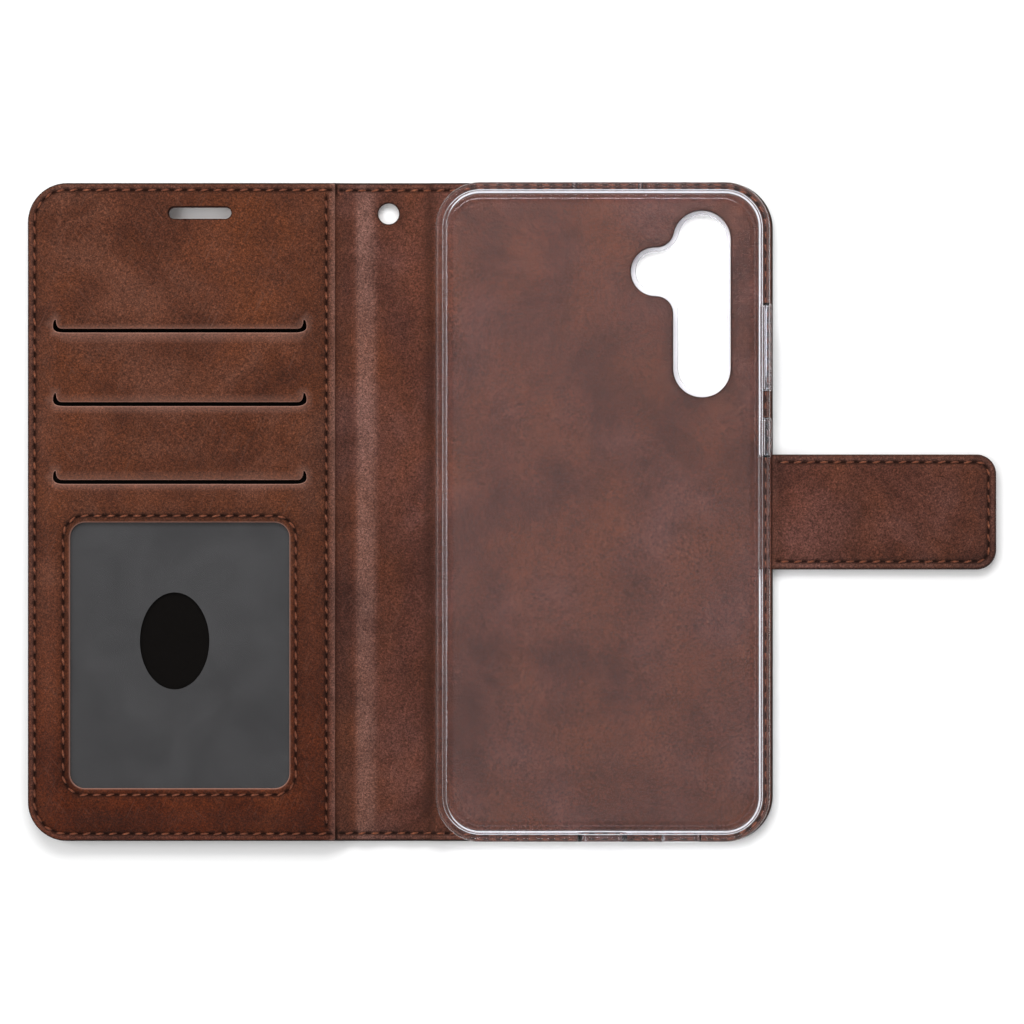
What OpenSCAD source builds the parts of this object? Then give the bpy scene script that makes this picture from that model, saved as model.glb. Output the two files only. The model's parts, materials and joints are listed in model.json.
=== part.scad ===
// Phone wallet case, lying open and flat with its inside up.
// X runs from the free edge of the front cover to the tip of the strap, Y up along the spine, Z up.
// The origin is the middle of the footprint, on the surface that the case lies on.

/* [Covers] */
// Height of the covers, along the spine
case_h = 151; // [148:0.5:160]
// Width of the front cover, free edge to first spine fold
front_w = 75.2; // [74:0.5:80]
// Width of the back cover, second spine fold to closing edge
back_w = 78.4; // [78:0.1:84]
// Corner radius of the front cover
front_corner_r = 9; // [6:0.5:12]
// Corner radius of the back cover
back_corner_r = 10.5; // [6:0.5:12]

/* [Layers] */
// Thickness of the leather
leather_t = 0.7; // [0.6:0.05:0.8]
// Thickness of the stiffening boards
board_t = 0.8; // [0.7:0.05:1]
// Thickness of the lining inside the covers
lining_t = 0.5; // [0.4:0.05:0.7]
// Thickness of the textile sheets in the pockets
textile_t = 0.1; // [0.08:0.01:0.2]
// Thickness of the clear film in the window
film_t = 0.2; // [0.15:0.05:0.3]

/* [Pockets] */
// Room for one card in each pocket
card_gap = 0.8; // [0.8:0.02:1]
// Width of each card slot
slot_w = 58; // [56:0.5:60]
// Height of a card slot
slot_h = 1.3; // [1:0.1:2]
// Drop of each card slot's lip below the top edge
slot_drop = [34.5, 51.3, 69.1];
// Width of the identity window
window_w = 50.2; // [44:0.1:52]
// Height of the identity window
window_h = 60.8; // [50:0.1:62]

/* [Phone] */
// Width of the room for the phone
phone_w = 72.8; // [70:0.1:73]
// Height of the room for the phone
phone_h = 146.6; // [140:0.1:146.6]
// Thickness of the room for the phone
phone_t = 8; // [7:0.1:9]

/* [Tray] */
// Thickness of the tray's side walls
tray_wall = 1.6; // [1.2:0.1:1.8]
// Thickness of the tray's floor
tray_floor = 1.2; // [1:0.1:1.5]
// Outer corner radius of the tray
tray_corner_r = 10.3; // [9:0.1:12]

/* [Strap] */
// Width of the closing strap
strap_w = 26.4; // [20:0.1:30]
// Length of the strap's tip, fold to end
strap_tip_len = 31.8; // [28:0.1:36]

/* [Stitching] */
// Distance from one stitch to the next
stitch_pitch = 3; // [2.6:0.1:4]

/* [Hidden] */
$fn = 64;
eps = 0.01;

// Levels above the surface that the case lies on
board_top = leather_t + board_t;
back_top = board_top + 0.6;
adhesive_t = 0.2;
tray_bottom = back_top + adhesive_t;
cavity_floor = tray_bottom + tray_floor;
cavity_top = cavity_floor + phone_t;
lip_t = 1;
tray_top = cavity_top + lip_t;
cash_gap = 0.25;
lining_top = board_top + lining_t;
backing_bottom = lining_top + cash_gap;
backing_top = backing_bottom + 2 * textile_t;
divider_1_bottom = backing_top + card_gap;
divider_2_bottom = divider_1_bottom + textile_t + card_gap;
film_bottom = divider_2_bottom + textile_t + card_gap;
panel_bottom = film_bottom + film_t;
panel_top = panel_bottom + leather_t;

// Folds: the leather bends about its middle surface
fold_z = leather_t;
bead_r = leather_t;
fold_gap = bead_r + 0.1;
shut_gap = 0.3;
spine_w = tray_top + shut_gap + panel_top - 2 * fold_z;
case_w = front_w + spine_w + back_w;
shut_top = 2 * fold_z + spine_w;
strap_t = 2 * leather_t;
strap_z = leather_t + board_t / 2;
strap_side_len = shut_top + shut_gap + strap_t / 2 - strap_z;
total_w = case_w + fold_gap + strap_side_len + strap_tip_len;

// Places along X
left = -total_w / 2;
fold_1 = left + front_w;
fold_2 = fold_1 + spine_w;
right = left + case_w;
strap_fold_1 = right + fold_gap;
strap_fold_2 = strap_fold_1 + strap_side_len;
panel_right = fold_1 - 4.6;
bottom = -case_h / 2;
top = case_h / 2;

// Tray
tray_left = fold_2 + fold_gap + 0.3;
tray_w = phone_w + 2 * tray_wall;
tray_h = phone_h + 2 * tray_wall;
tray_mid = tray_left + tray_w / 2;
button_z = cavity_floor + phone_t / 2;

// Camera cut-out: a column of three lenses with a light beside it
column_x = tray_left + tray_w - tray_wall - 13.4;
column_y = top - 27.8;
lens_pitch = 14.8;
column_r = 6.6;
light_dx = 10.7;
light_r = 5.6;
blend_r = 4;
overlap = 0.03;
rim_t = 1.1;

// Speaker slot, lanyard hole and thumb hole
speaker_x = left + 39.6;
speaker_y = top - 7;
speaker_w = 14.4;
speaker_h = 2.7;
lanyard_x = fold_1 + 7.6;
lanyard_y = top - 7.1;
lanyard_r = 2.4;
thumb_x = left + 33.9;
thumb_y = top - 105;
thumb_half = [7.95, 11.1];

// Pockets
pocket_mid = left + 35.1;
flange_w = 3.4;
glued_top = 12;
pocket_top = top - 24;
pocket_right = panel_right - 4;
window_mid_y = top - 108.3;
window_corner_r = 3.2;
film_lap = 3.4;
divider_rise = 5;

// Boards, clasp and threads
board_inset = 3.4;
magnet = [14, 18, 0.8];
magnet_x = strap_fold_2 + strap_tip_len - 12;
keeper_x = fold_1 - (strap_fold_1 - fold_2 - (magnet_x - strap_fold_2));
seam_inset = 1.7;
groove_w = 0.9;
groove_t = 0.25;
stitch = [2.2, 0.55, 0.18];
stitch_slant = 8;
seam_end = 2.2;

leather_colour = [0.42, 0.25, 0.19];
lining_colour = [0.36, 0.21, 0.16];
thread_colour = [0.5, 0.24, 0.15];
board_colour = [0.55, 0.5, 0.42];
textile_colour = [0.2, 0.15, 0.13];
clear_colour = [0.85, 0.86, 0.9, 0.5];
steel_colour = [0.7, 0.7, 0.72];

// ---- Outlines ----

module rounded(low, high, r) {
    translate([low[0] + r, low[1]]) square([high[0] - low[0] - 2 * r, high[1] - low[1]]);
    translate([low[0], low[1] + r]) square([high[0] - low[0], high[1] - low[1] - 2 * r]);
    for (x = [low[0] + r, high[0] - r], y = [low[1] + r, high[1] - r]) translate([x, y]) circle(r);
}

module slab(z0, z1) {
    translate([0, 0, z0]) linear_extrude(z1 - z0) children();
}

// The part of an outline between two places along X
module between(x0, x1) {
    intersection() {
        children();
        translate([x0, bottom - 1]) square([x1 - x0, case_h + 2]);
    }
}

// The covers are drawn on past their folds, so that an inset keeps its edges straight there
overrun = 20;

module front_outline(inset, x1) {
    between(left - 1, x1)
        rounded([left + inset, bottom + inset], [fold_1 + overrun, top - inset], front_corner_r - inset);
}

module back_outline(inset, x0) {
    between(x0, right + 1)
        rounded([fold_2 - overrun, bottom + inset], [right - inset, top - inset], back_corner_r - inset);
}

module tray_outline(inset) {
    rounded(
        [tray_left + inset, -tray_h / 2 + inset],
        [tray_left + tray_w - inset, tray_h / 2 - inset],
        tray_corner_r - inset
    );
}

function heading(from, to) = atan2(to[1] - from[1], to[0] - from[0]);

// The point at distance ra from a and rb from b, on the left of the way from a to b
function meeting(a, ra, b, rb) =
    let (
        d = norm(b - a),
        along = (ra * ra - rb * rb + d * d) / (2 * d),
        across = sqrt(ra * ra - along * along),
        u = (b - a) / d
    )
    a + along * u + across * [-u[1], u[0]];

// Camera cut-out, larger by grow all round: a column, a light, and the web between them
module camera_outline(grow) {
    rc = column_r + grow;
    rl = light_r + grow;
    rb = blend_r - grow;
    upper = [column_x, column_y + lens_pitch];
    lower = [column_x, column_y - lens_pitch];
    light = [column_x - light_dx, column_y + lens_pitch / 2];
    over = meeting(light, rl + rb, upper, rc + rb);
    under_x = column_x - rc - rb;
    under = [under_x, light[1] - sqrt(pow(rl + rb, 2) - pow(under_x - light[0], 2))];
    translate(upper) circle(rc);
    translate(lower) circle(rc);
    translate(lower - [rc, 0]) square([2 * rc, 2 * lens_pitch]);
    translate(light) circle(rl);
    difference() {
        polygon([light, over, upper, [column_x, under[1]], under]);
        translate(over) circle(rb + overlap);
        translate(under) circle(rb + overlap);
    }
}

module speaker_outline(grow) {
    rounded(
        [speaker_x - speaker_w / 2 - grow, speaker_y - speaker_h / 2 - grow],
        [speaker_x + speaker_w / 2 + grow, speaker_y + speaker_h / 2 + grow],
        speaker_h / 2 + grow - eps
    );
}

module speaker_slot() {
    slab(-1, panel_top + 1) speaker_outline(0);
}

module bead(x, z, length) {
    translate([x, length / 2, z]) rotate([90, 0, 0]) cylinder(r = bead_r, h = length);
}

// ---- Stitching ----

function run(p, q) =
    let (n = max(1, round(norm(q - p) / stitch_pitch)), a = heading(p, q))
    [for (i = [0:n - 1]) let (s = (i + 0.5) / n) [p[0] + (q[0] - p[0]) * s, p[1] + (q[1] - p[1]) * s, a]];

function bend(c, r, a0, a1) =
    let (n = max(1, round(abs(a1 - a0) * PI / 180 * r / stitch_pitch)))
    [for (i = [0:n - 1]) let (a = a0 + (a1 - a0) * (i + 0.5) / n)
        [c[0] + r * cos(a), c[1] + r * sin(a), a + (a1 > a0 ? 90 : -90)]];

// From (x0, high) round two corners of radius r on the far side x1 to (x0, low)
function c_run(x0, x1, low, high, r) =
    let (s = sign(x1 - x0), mid = x1 - s * r)
    concat(
        run([x0, high], [mid, high]),
        bend([mid, high - r], r, 90, s > 0 ? 0 : 180),
        run([x1, high - r], [x1, low + r]),
        bend([mid, low + r], r, s > 0 ? 0 : 180, s > 0 ? -90 : 270),
        run([mid, low], [x0, low])
    );

module stitches(places, z) {
    for (p = places) translate([p[0], p[1], z + stitch[2] / 2])
        rotate([0, 0, p[2] + stitch_slant]) cube(stitch, center = true);
}

front_seam = c_run(fold_1 - seam_end, left + seam_inset, bottom + seam_inset, top - seam_inset,
    front_corner_r - seam_inset);
back_seam = c_run(fold_2 + seam_end, right - seam_inset, bottom + seam_inset, top - seam_inset,
    back_corner_r - seam_inset);
spine_seam = [for (y = [bottom + seam_inset, top - seam_inset])
    each run([fold_1 + seam_end, y], [fold_2 - seam_end, y])];
strap_seam_y = strap_w / 2 - seam_inset;
strap_side_seam = [for (y = [-strap_seam_y, strap_seam_y])
    each run([strap_fold_1 + seam_end, y], [strap_fold_2 - seam_end, y])];
strap_corner_r = 4.5;
strap_tip_seam = c_run(strap_fold_2 + seam_end, strap_fold_2 + strap_tip_len - seam_inset,
    -strap_seam_y, strap_seam_y, strap_corner_r - seam_inset);

// ---- Back cover ----

// Leather with its edge turned over round the board
module back_outer_leather() {
    color(leather_colour) difference() {
        slab(0, board_top) back_outline(0, fold_2 + fold_gap);
        slab(leather_t, board_top + 1) back_board_outline(board_inset - 0.1);
        slab(-1, board_top + 1) camera_outline(0);
        slab(-1, groove_t) difference() {
            back_outline(seam_inset - groove_w / 2, fold_2);
            back_outline(seam_inset + groove_w / 2, fold_2 - 1);
        }
        translate([right - board_inset - 1, -strap_w / 2 - 0.1, leather_t])
            cube([board_inset + 2, strap_w + 0.2, board_t + 1]);
    }
}

module back_board_outline(inset) {
    rounded([fold_2 + inset, bottom + inset], [right - inset, top - inset], back_corner_r - inset);
}

tab_len = 12;

module back_board() {
    color(board_colour) difference() {
        slab(leather_t, board_top) back_board_outline(board_inset);
        slab(0, back_top) camera_outline(0.5);
        translate([right - tab_len - 0.1, -strap_w / 2 - 0.1, 0]) cube([tab_len, strap_w + 0.2, back_top]);
    }
}

module back_lining() {
    color(lining_colour) difference() {
        slab(board_top, back_top) back_outline(0, fold_2 + fold_gap);
        slab(0, back_top + 1) camera_outline(0);
    }
}

module back_thread() {
    color(thread_colour) {
        stitches(back_seam, groove_t - stitch[2]);
        stitches(back_seam, back_top);
    }
}

// Sewn-in end of the strap, with the round fold that the strap turns on
module strap_root_tab() {
    color(leather_colour) {
        translate([right - tab_len, -strap_w / 2, leather_t]) cube([tab_len + fold_gap, strap_w, board_t]);
        bead(strap_fold_1, strap_z, strap_w);
    }
}

module tray_adhesive_sheet() {
    color(clear_colour) difference() {
        slab(back_top, tray_bottom) tray_outline(4);
        slab(0, tray_bottom + 1) camera_outline(0.5);
    }
}

// ---- Phone tray ----

button_len = [20, 9];
button_y = [top - 38, top - 58.5];
button_h = 3.4;
button_clear = 0.12;
button_proud = 0.6;
button_recess = 0.45;
usb = [11.5, 5.2];
phone_speaker = [9, 1.8];
phone_speaker_dx = 18;
mic_dx = [-6.4, 8.7];

module wall_hole(x, y, w, h) {
    translate([x, y + 3, button_z]) rotate([90, 0, 0]) linear_extrude(6)
        rounded([-w / 2, -h / 2], [w / 2, h / 2], h / 2 - eps);
}

module button_window(i) {
    grow = 2 * button_clear;
    translate([tray_left + tray_w - tray_wall - 1, button_y[i] - (button_len[i] + grow) / 2,
        button_z - (button_h + grow) / 2])
        cube([tray_wall + 2, button_len[i] + grow, button_h + grow]);
}

module phone_tray() {
    color(clear_colour) difference() {
        union() {
            slab(tray_bottom, tray_top) tray_outline(0);
            slab(0.2, tray_bottom + 0.5) camera_outline(-0.15);
        }
        slab(cavity_floor, cavity_top) tray_outline(tray_wall);
        slab(cavity_floor, tray_top + 1) tray_outline(tray_wall + 1);
        slab(0, cavity_floor + 1) camera_outline(-rim_t);
        wall_hole(tray_mid, -tray_h / 2, usb[0], usb[1]);
        wall_hole(tray_mid + phone_speaker_dx, -tray_h / 2, phone_speaker[0], phone_speaker[1]);
        for (dx = mic_dx)
            translate([tray_mid + dx, tray_h / 2 + 1, button_z]) rotate([90, 0, 0]) cylinder(r = 0.6, h = 4);
        for (i = [0, 1]) button_window(i);
    }
}

module button_cover(i) {
    x0 = tray_left + tray_w - tray_wall + button_recess;
    x1 = tray_left + tray_w + button_proud;
    color(clear_colour) translate([x0, button_y[i], button_z]) rotate([90, 0, 90]) linear_extrude(x1 - x0)
        rounded([-button_len[i] / 2, -button_h / 2], [button_len[i] / 2, button_h / 2], 1.2);
}

// ---- Spine ----

module lanyard_hole() {
    translate([lanyard_x, lanyard_y, -1]) cylinder(r = lanyard_r, h = 4);
}

module spine_outer_leather() {
    color(leather_colour) difference() {
        union() {
            slab(0, leather_t) translate([fold_1, bottom]) square([spine_w, case_h]);
            bead(fold_1, fold_z, case_h);
            bead(fold_2, fold_z, case_h);
        }
        lanyard_hole();
        for (y = [bottom + seam_inset, top - seam_inset])
            translate([fold_1 + seam_end - 1, y - groove_w / 2, -1])
                cube([spine_w - 2 * seam_end + 2, groove_w, 1 + groove_t]);
    }
}

module spine_lining() {
    color(lining_colour) difference() {
        slab(leather_t, 2 * leather_t)
            translate([fold_1 + fold_gap, bottom]) square([spine_w - 2 * fold_gap, case_h]);
        lanyard_hole();
    }
}

module spine_thread() {
    color(thread_colour) {
        stitches(spine_seam, groove_t - stitch[2]);
        stitches(spine_seam, 2 * leather_t);
    }
}

// ---- Front cover ----

turn_w = 0.6;

module front_board_outline(inset) {
    rounded([left + inset, bottom + inset], [fold_1 - inset, top - inset], front_corner_r - inset);
}

module front_outer_leather() {
    color(leather_colour) difference() {
        slab(0, board_top) front_outline(0, fold_1 - fold_gap);
        slab(leather_t, board_top + 1) difference() {
            front_board_outline(board_inset - 0.1);
            speaker_outline(turn_w);
        }
        slab(-1, groove_t) difference() {
            front_outline(seam_inset - groove_w / 2, fold_1);
            front_outline(seam_inset + groove_w / 2, fold_1 + 1);
        }
        speaker_slot();
    }
}

module front_board() {
    color(board_colour) difference() {
        slab(leather_t, board_top) front_board_outline(board_inset);
        slab(0, board_top + 1) speaker_outline(turn_w + 0.1);
        keeper_block(0.1);
    }
}

module keeper_block(grow) {
    translate([keeper_x - magnet[0] / 2 - grow, -magnet[1] / 2 - grow, leather_t])
        cube([magnet[0] + 2 * grow, magnet[1] + 2 * grow, board_t]);
}

module clasp_keeper_plate() {
    color(steel_colour) keeper_block(0);
}

// Lining, with the raised margin that the pockets are sewn down on; the spine side stays open for notes
module front_lining() {
    color(lining_colour) difference() {
        union() {
            slab(board_top, lining_top) front_outline(0, fold_1 - fold_gap);
            slab(lining_top - eps, backing_bottom) difference() {
                front_outline(0, panel_right);
                translate([left + flange_w, bottom + flange_w])
                    square([front_w, case_h - flange_w - glued_top]);
            }
        }
        speaker_slot();
    }
}

module pocket_backing() {
    color(textile_colour) difference() {
        slab(backing_bottom, backing_top) front_outline(0, panel_right);
        speaker_slot();
    }
}

module pocket_outline(inset) {
    rounded([left + flange_w + inset, bottom + flange_w + inset], [pocket_right - inset, pocket_top - inset],
        5 - inset);
}

module divider(z, lip_y) {
    edge = lip_y + divider_rise;
    color(textile_colour) {
        slab(z, z + textile_t) difference() {
            pocket_outline(leather_t + 0.1);
            translate([left, edge]) square([front_w, case_h]);
        }
        translate([left + flange_w + 6, edge - 2 * textile_t, z])
            cube([pocket_right - left - flange_w - 12, 2 * textile_t, panel_bottom - z]);
    }
}

function lip_y(i) = top - slot_drop[i];

// A straight slit whose two ends turn up
module card_slot(i) {
    ear_r = 0.8;
    ear_h = 2.9;
    slab(panel_bottom - 1, panel_top + 1) {
        rounded([pocket_mid - slot_w / 2, lip_y(i)], [pocket_mid + slot_w / 2, lip_y(i) + slot_h],
            slot_h / 2 - eps);
        for (s = [-1, 1])
            rounded([pocket_mid + s * (slot_w / 2 - ear_r) - ear_r, lip_y(i)],
                [pocket_mid + s * (slot_w / 2 - ear_r) + ear_r, lip_y(i) + ear_h], ear_r - eps);
    }
}

module window_outline(grow) {
    rounded([pocket_mid - window_w / 2 - grow, window_mid_y - window_h / 2 - grow],
        [pocket_mid + window_w / 2 + grow, window_mid_y + window_h / 2 + grow], window_corner_r + grow);
}

module window_film() {
    color(clear_colour) slab(film_bottom, panel_bottom) difference() {
        window_outline(film_lap);
        polygon([for (a = [0:5:355]) [thumb_x + thumb_half[0] * cos(a), thumb_y + thumb_half[1] * sin(a)]]);
    }
}

module card_panel() {
    color(leather_colour) difference() {
        union() {
            slab(backing_top, backing_top + leather_t) front_outline(0, panel_right);
            slab(backing_top, panel_top) pocket_outline(0);
        }
        slab(backing_top - 1, panel_bottom) pocket_outline(leather_t);
        for (i = [0:2]) card_slot(i);
        slab(panel_bottom - 1, panel_top + 1) window_outline(0);
        speaker_slot();
    }
}

module front_thread() {
    color(thread_colour) {
        stitches(front_seam, groove_t - stitch[2]);
        stitches([for (p = front_seam) if (p[0] < panel_right - 4.5) p], backing_top + leather_t);
    }
}

module panel_side_thread() {
    color(thread_colour) stitches(
        run([panel_right - 2, bottom + 2 * seam_inset], [panel_right - 2, top - 2 * seam_inset]),
        backing_top + leather_t
    );
}

module window_thread() {
    grow = 1.5;
    r = window_corner_r + grow;
    x = window_w / 2 + grow;
    y = window_h / 2 + grow;
    half = [for (p = c_run(0, x, -y, y, r)) p];
    color(thread_colour) translate([pocket_mid, window_mid_y, 0])
        for (s = [0, 1]) mirror([s, 0, 0]) stitches(half, panel_top);
}

// ---- Strap ----

module strap_side_outer() {
    color(leather_colour) {
        translate([strap_fold_1 + fold_gap, -strap_w / 2, strap_z - leather_t])
            cube([strap_side_len - fold_gap, strap_w, leather_t]);
        bead(strap_fold_2, strap_z, strap_w);
    }
}

module strap_side_inner() {
    color(lining_colour) translate([strap_fold_1 + fold_gap, -strap_w / 2, strap_z])
        cube([strap_side_len - 2 * fold_gap, strap_w, leather_t]);
}

module strap_side_thread() {
    color(thread_colour) {
        stitches(strap_side_seam, strap_z - leather_t - stitch[2]);
        stitches(strap_side_seam, strap_z + leather_t);
    }
}

module strap_tip_outline() {
    intersection() {
        rounded([strap_fold_1, -strap_w / 2], [strap_fold_2 + strap_tip_len, strap_w / 2], strap_corner_r);
        translate([strap_fold_2 + fold_gap, -strap_w]) square(2 * strap_w);
    }
}

module magnet_block(grow) {
    translate([magnet_x, 0, strap_z]) cube(magnet + 2 * grow * [1, 1, 0], center = true);
}

module strap_tip_outer() {
    color(leather_colour) difference() {
        slab(strap_z - leather_t, strap_z) strap_tip_outline();
        magnet_block(0.1);
    }
}

module strap_tip_inner() {
    color(lining_colour) difference() {
        slab(strap_z, strap_z + leather_t) strap_tip_outline();
        magnet_block(0.1);
    }
}

module strap_magnet() {
    color(steel_colour) magnet_block(0);
}

module strap_tip_thread() {
    color(thread_colour) {
        stitches(strap_tip_seam, strap_z - leather_t - stitch[2]);
        stitches(strap_tip_seam, strap_z + leather_t);
    }
}

back_outer_leather();
back_board();
back_lining();
back_thread();
strap_root_tab();
tray_adhesive_sheet();
phone_tray();
button_cover(0);  // volume_button_cover
button_cover(1);  // power_button_cover
spine_outer_leather();
spine_lining();
spine_thread();
front_outer_leather();
front_board();
clasp_keeper_plate();
front_lining();
pocket_backing();
divider(divider_1_bottom, lip_y(1));  // card_divider_1
divider(divider_2_bottom, lip_y(2));  // card_divider_2
window_film();
card_panel();
front_thread();
panel_side_thread();
window_thread();
strap_side_outer();
strap_side_inner();
strap_side_thread();
strap_tip_outer();
strap_tip_inner();
strap_magnet();
strap_tip_thread();
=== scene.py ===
import json
import math

import bpy
import numpy as np
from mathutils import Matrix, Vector, kdtree
from mathutils.geometry import delaunay_2d_cdt


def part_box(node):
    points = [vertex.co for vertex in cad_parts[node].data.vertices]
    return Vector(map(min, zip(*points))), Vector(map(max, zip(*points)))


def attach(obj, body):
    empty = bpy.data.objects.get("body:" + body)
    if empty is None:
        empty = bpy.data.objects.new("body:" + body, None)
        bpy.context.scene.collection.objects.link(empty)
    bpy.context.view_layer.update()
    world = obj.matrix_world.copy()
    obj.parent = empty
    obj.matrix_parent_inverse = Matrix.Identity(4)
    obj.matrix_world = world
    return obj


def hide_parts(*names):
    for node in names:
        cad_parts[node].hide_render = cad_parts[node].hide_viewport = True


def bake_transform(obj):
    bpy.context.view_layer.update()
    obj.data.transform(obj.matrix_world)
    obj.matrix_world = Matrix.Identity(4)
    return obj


# A phone wallet case, lying open with its inside up. Shapes are worked out in millimetres.
MM = 0.001
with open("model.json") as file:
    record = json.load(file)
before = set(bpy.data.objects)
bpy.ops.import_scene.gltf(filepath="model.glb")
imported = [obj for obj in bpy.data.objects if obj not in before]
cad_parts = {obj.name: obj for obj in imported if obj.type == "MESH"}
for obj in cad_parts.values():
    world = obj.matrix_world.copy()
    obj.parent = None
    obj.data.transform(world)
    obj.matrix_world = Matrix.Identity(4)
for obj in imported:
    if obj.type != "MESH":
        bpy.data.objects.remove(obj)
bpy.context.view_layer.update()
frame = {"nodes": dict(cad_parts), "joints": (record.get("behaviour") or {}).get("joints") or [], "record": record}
record = frame["record"]

# ---- Places, from the frame ----


def span(node):
    """A CAD node's lowest and highest corner, in millimetres."""
    low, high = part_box(node)
    return np.array(low) / MM, np.array(high) / MM


def joint_at(name):
    return next(np.array(j["pos_m"]) / MM for j in frame["joints"] if j["name"] == name)


def opening(name):
    box = next(o["box_m"] for o in record["physics"]["openings"] if o["name"] == name)
    return np.array(box) / MM


lanyard = next(m for m in record["mounts"] if m["name"] == "lanyard_hole")
LANYARD = np.array(lanyard["pos_m"][:2]) / MM
LANYARD_R = lanyard["dims"]["r_mm"]
(LEFT, BOTTOM, _), (_, TOP, RIM_TOP) = span("front_outer_leather")
RIGHT = span("back_outer_leather")[1][0]
FOLD_1 = joint_at("cover_fold")[0]
FOLD_2 = joint_at("spine_fold")[0]
STRAP_1, _, STRAP_Z = joint_at("strap_root_fold")
STRAP_2 = joint_at("strap_tip_fold")[0]
STRAP_END, STRAP_HALF, _ = span("strap_tip_outer")[1]
PANEL_RIGHT = span("card_panel")[1][0]
FLANGE_LOW = span("card_panel")[0][2]
FRONT_LINING_TOP = span("front_lining")[1][2]
BACK_LINING_TOP = span("back_lining")[1][2]
TRAY_LOW, TRAY_HIGH = span("phone_tray")
ADHESIVE_TOP = span("tray_adhesive_sheet")[1][2]
PHONE_BAY_LOW = opening("phone_bay_middle")[0][2]
COLUMN = opening("camera_column")
LIGHT = opening("camera_light")[:, :2].mean(axis=0)
THUMB = opening("window_thumb_hole")[:, :2].mean(axis=0)
PORT_Z = opening("charging_port")[:, 2].mean()
MAGNET_LOW, MAGNET_HIGH = span("strap_magnet")

# ---- Sizes, in millimetres ----

LEATHER_T = 0.7
LINING_T = FRONT_LINING_TOP - RIM_TOP
FILM_T = 0.2
CLOTH_T = 0.1
BACKING_T = 0.16
FACE_GAP = 0.03

FRONT_CORNER_R = 9.0
BACK_CORNER_R = 10.5
STRAP_CORNER_R = 4.5
SPLIT = FOLD_1 + 12.0
INNER_INSET = 0.3
RIM_W = 3.3
TURN_W = 0.6
STRAP_ROOT = RIGHT - 5.0
STRAP_MID = (STRAP_1 + STRAP_2) / 2
MAGNET_ROOM = 0.05
MAGNET_SIDE = 0.1

SEAM_INSET = 1.8
SIDE_SEAM_INSET = 2.0
WINDOW_SEAM_OUT = 1.5
STITCH_PITCH = 3.0
STITCH_GAP = 1.0
STITCH_SLANT = 9.0
STITCH_WOBBLE = 5.0
THREAD_R = 0.21
CHANNEL_DEPTH = 0.2
PULL_MOST = 0.45
PIT_DEPTH = 0.34
PIT_HALF = (0.7, 0.33)

FLANGE_TOP = FLANGE_LOW + LEATHER_T
POCKET_TOP = 4.9
POCKET_MID = LEFT + 35.1
SLOT_W = 58.0
SLOT_H = 0.9
SLOT_DROPS = (34.5, 51.3, 69.1)
SLOT_LIP_RISE = 0.2
SLOT_LIP_FADE = 2.4
SLOT_PRESS = 0.38
SLOT_PRESS_FADE = 4.5
EAR_W = 2.1
EAR_H = 3.0
WINDOW_SIZE = np.array([50.2, 60.8])
WINDOW_MID = np.array([POCKET_MID, TOP - 108.3])
WINDOW_R = 3.4
WINDOW_DROP = 0.42
FILM_MARGIN = 3.2
THUMB_HALF = (7.95, 11.1)
SPEAKER = np.array([LEFT + 39.6, TOP - 7.0])
SPEAKER_SIZE = (14.4, 2.7)
DIVIDER_LEVELS = (3.0, 3.45)
DIVIDER_REACH = 5.0
DIVIDER_INSET = 4.4
DIVIDER_SIDE_INSET = 4.6

TRAY_R = 10.3
TRAY_WALL = 1.6
TRAY_BOTTOM = ADHESIVE_TOP + FACE_GAP
CAVITY_FLOOR = PHONE_BAY_LOW - 0.05
LIP_W = 1.0
LIP_T = 1.0
WALL_ROWS = (6.0, 9.0)
FLOOR_ROUND = 0.8
TOP_ROUND = 0.9
FOOT_ROUND = 0.7
FLOOR_INSET = 3.2
LENS_R = 6.6
LIGHT_R = 5.6
WEB_R = 4.0
CAMERA_RIM_T = 1.1
CAMERA_RIM_CLEAR = 0.15
CAMERA_RIM_LOW = 0.25
BUTTON_R = 1.2
BUTTON_GAP = 0.12
PORT_SIZE = (11.5, 5.2)
SOUND_X = 18.0
SOUND_SIZE = (9, 1.8)
MIC_X = (-6.4, 8.7)
MIC_SIZE = (1.2, 1.2)

SKIN_ROUND = 0.78
EDGE_ROUND = 0.3
HOLE_ROUND = 0.25
SLOT_ROUND = 0.22
EDGE_RINGS = (0.1, 0.25, 0.5, 0.8)
LINING_RINGS = (0.08, 0.3)
EDGE_DARK = 0.24
HOLE_DARK = 0.34

# ---- Outlines ----


def arc(centre, r, start, end, step):
    """Points along an arc, both ends included, with angles in degrees."""
    n = max(3, math.ceil(abs(math.radians(end - start)) * r / step))
    angles = np.radians(np.linspace(start, end, n + 1))
    return [(centre[0] + r * math.cos(a), centre[1] + r * math.sin(a)) for a in angles]


def refined(points, step, closed=True):
    """The same path with its long runs cut into steps, and doubled points dropped."""
    ends = points[1:] + points[:1] if closed else points[1:]
    out = []
    for p, q in zip(points, ends):
        length = math.dist(p, q)
        if length < 1e-4:
            continue
        n = max(1, round(length / step))
        out += [(p[0] + (q[0] - p[0]) * i / n, p[1] + (q[1] - p[1]) * i / n) for i in range(n)]
    return out if closed else out + [points[-1]]


def rounded_loop(low, high, radii, step=0.8):
    """A rectangle's outline, anticlockwise, with a radius for its SW, SE, NE and NW corner."""
    sw, se, ne, nw = radii
    points = []
    for x, y, r, start in (
        (high[0] - se, low[1] + se, se, -90),
        (high[0] - ne, high[1] - ne, ne, 0),
        (low[0] + nw, high[1] - nw, nw, 90),
        (low[0] + sw, low[1] + sw, sw, 180),
    ):
        points += arc((x, y), r, start, start + 90, step) if r else [(x, y)]
    return refined(points, step)


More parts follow.
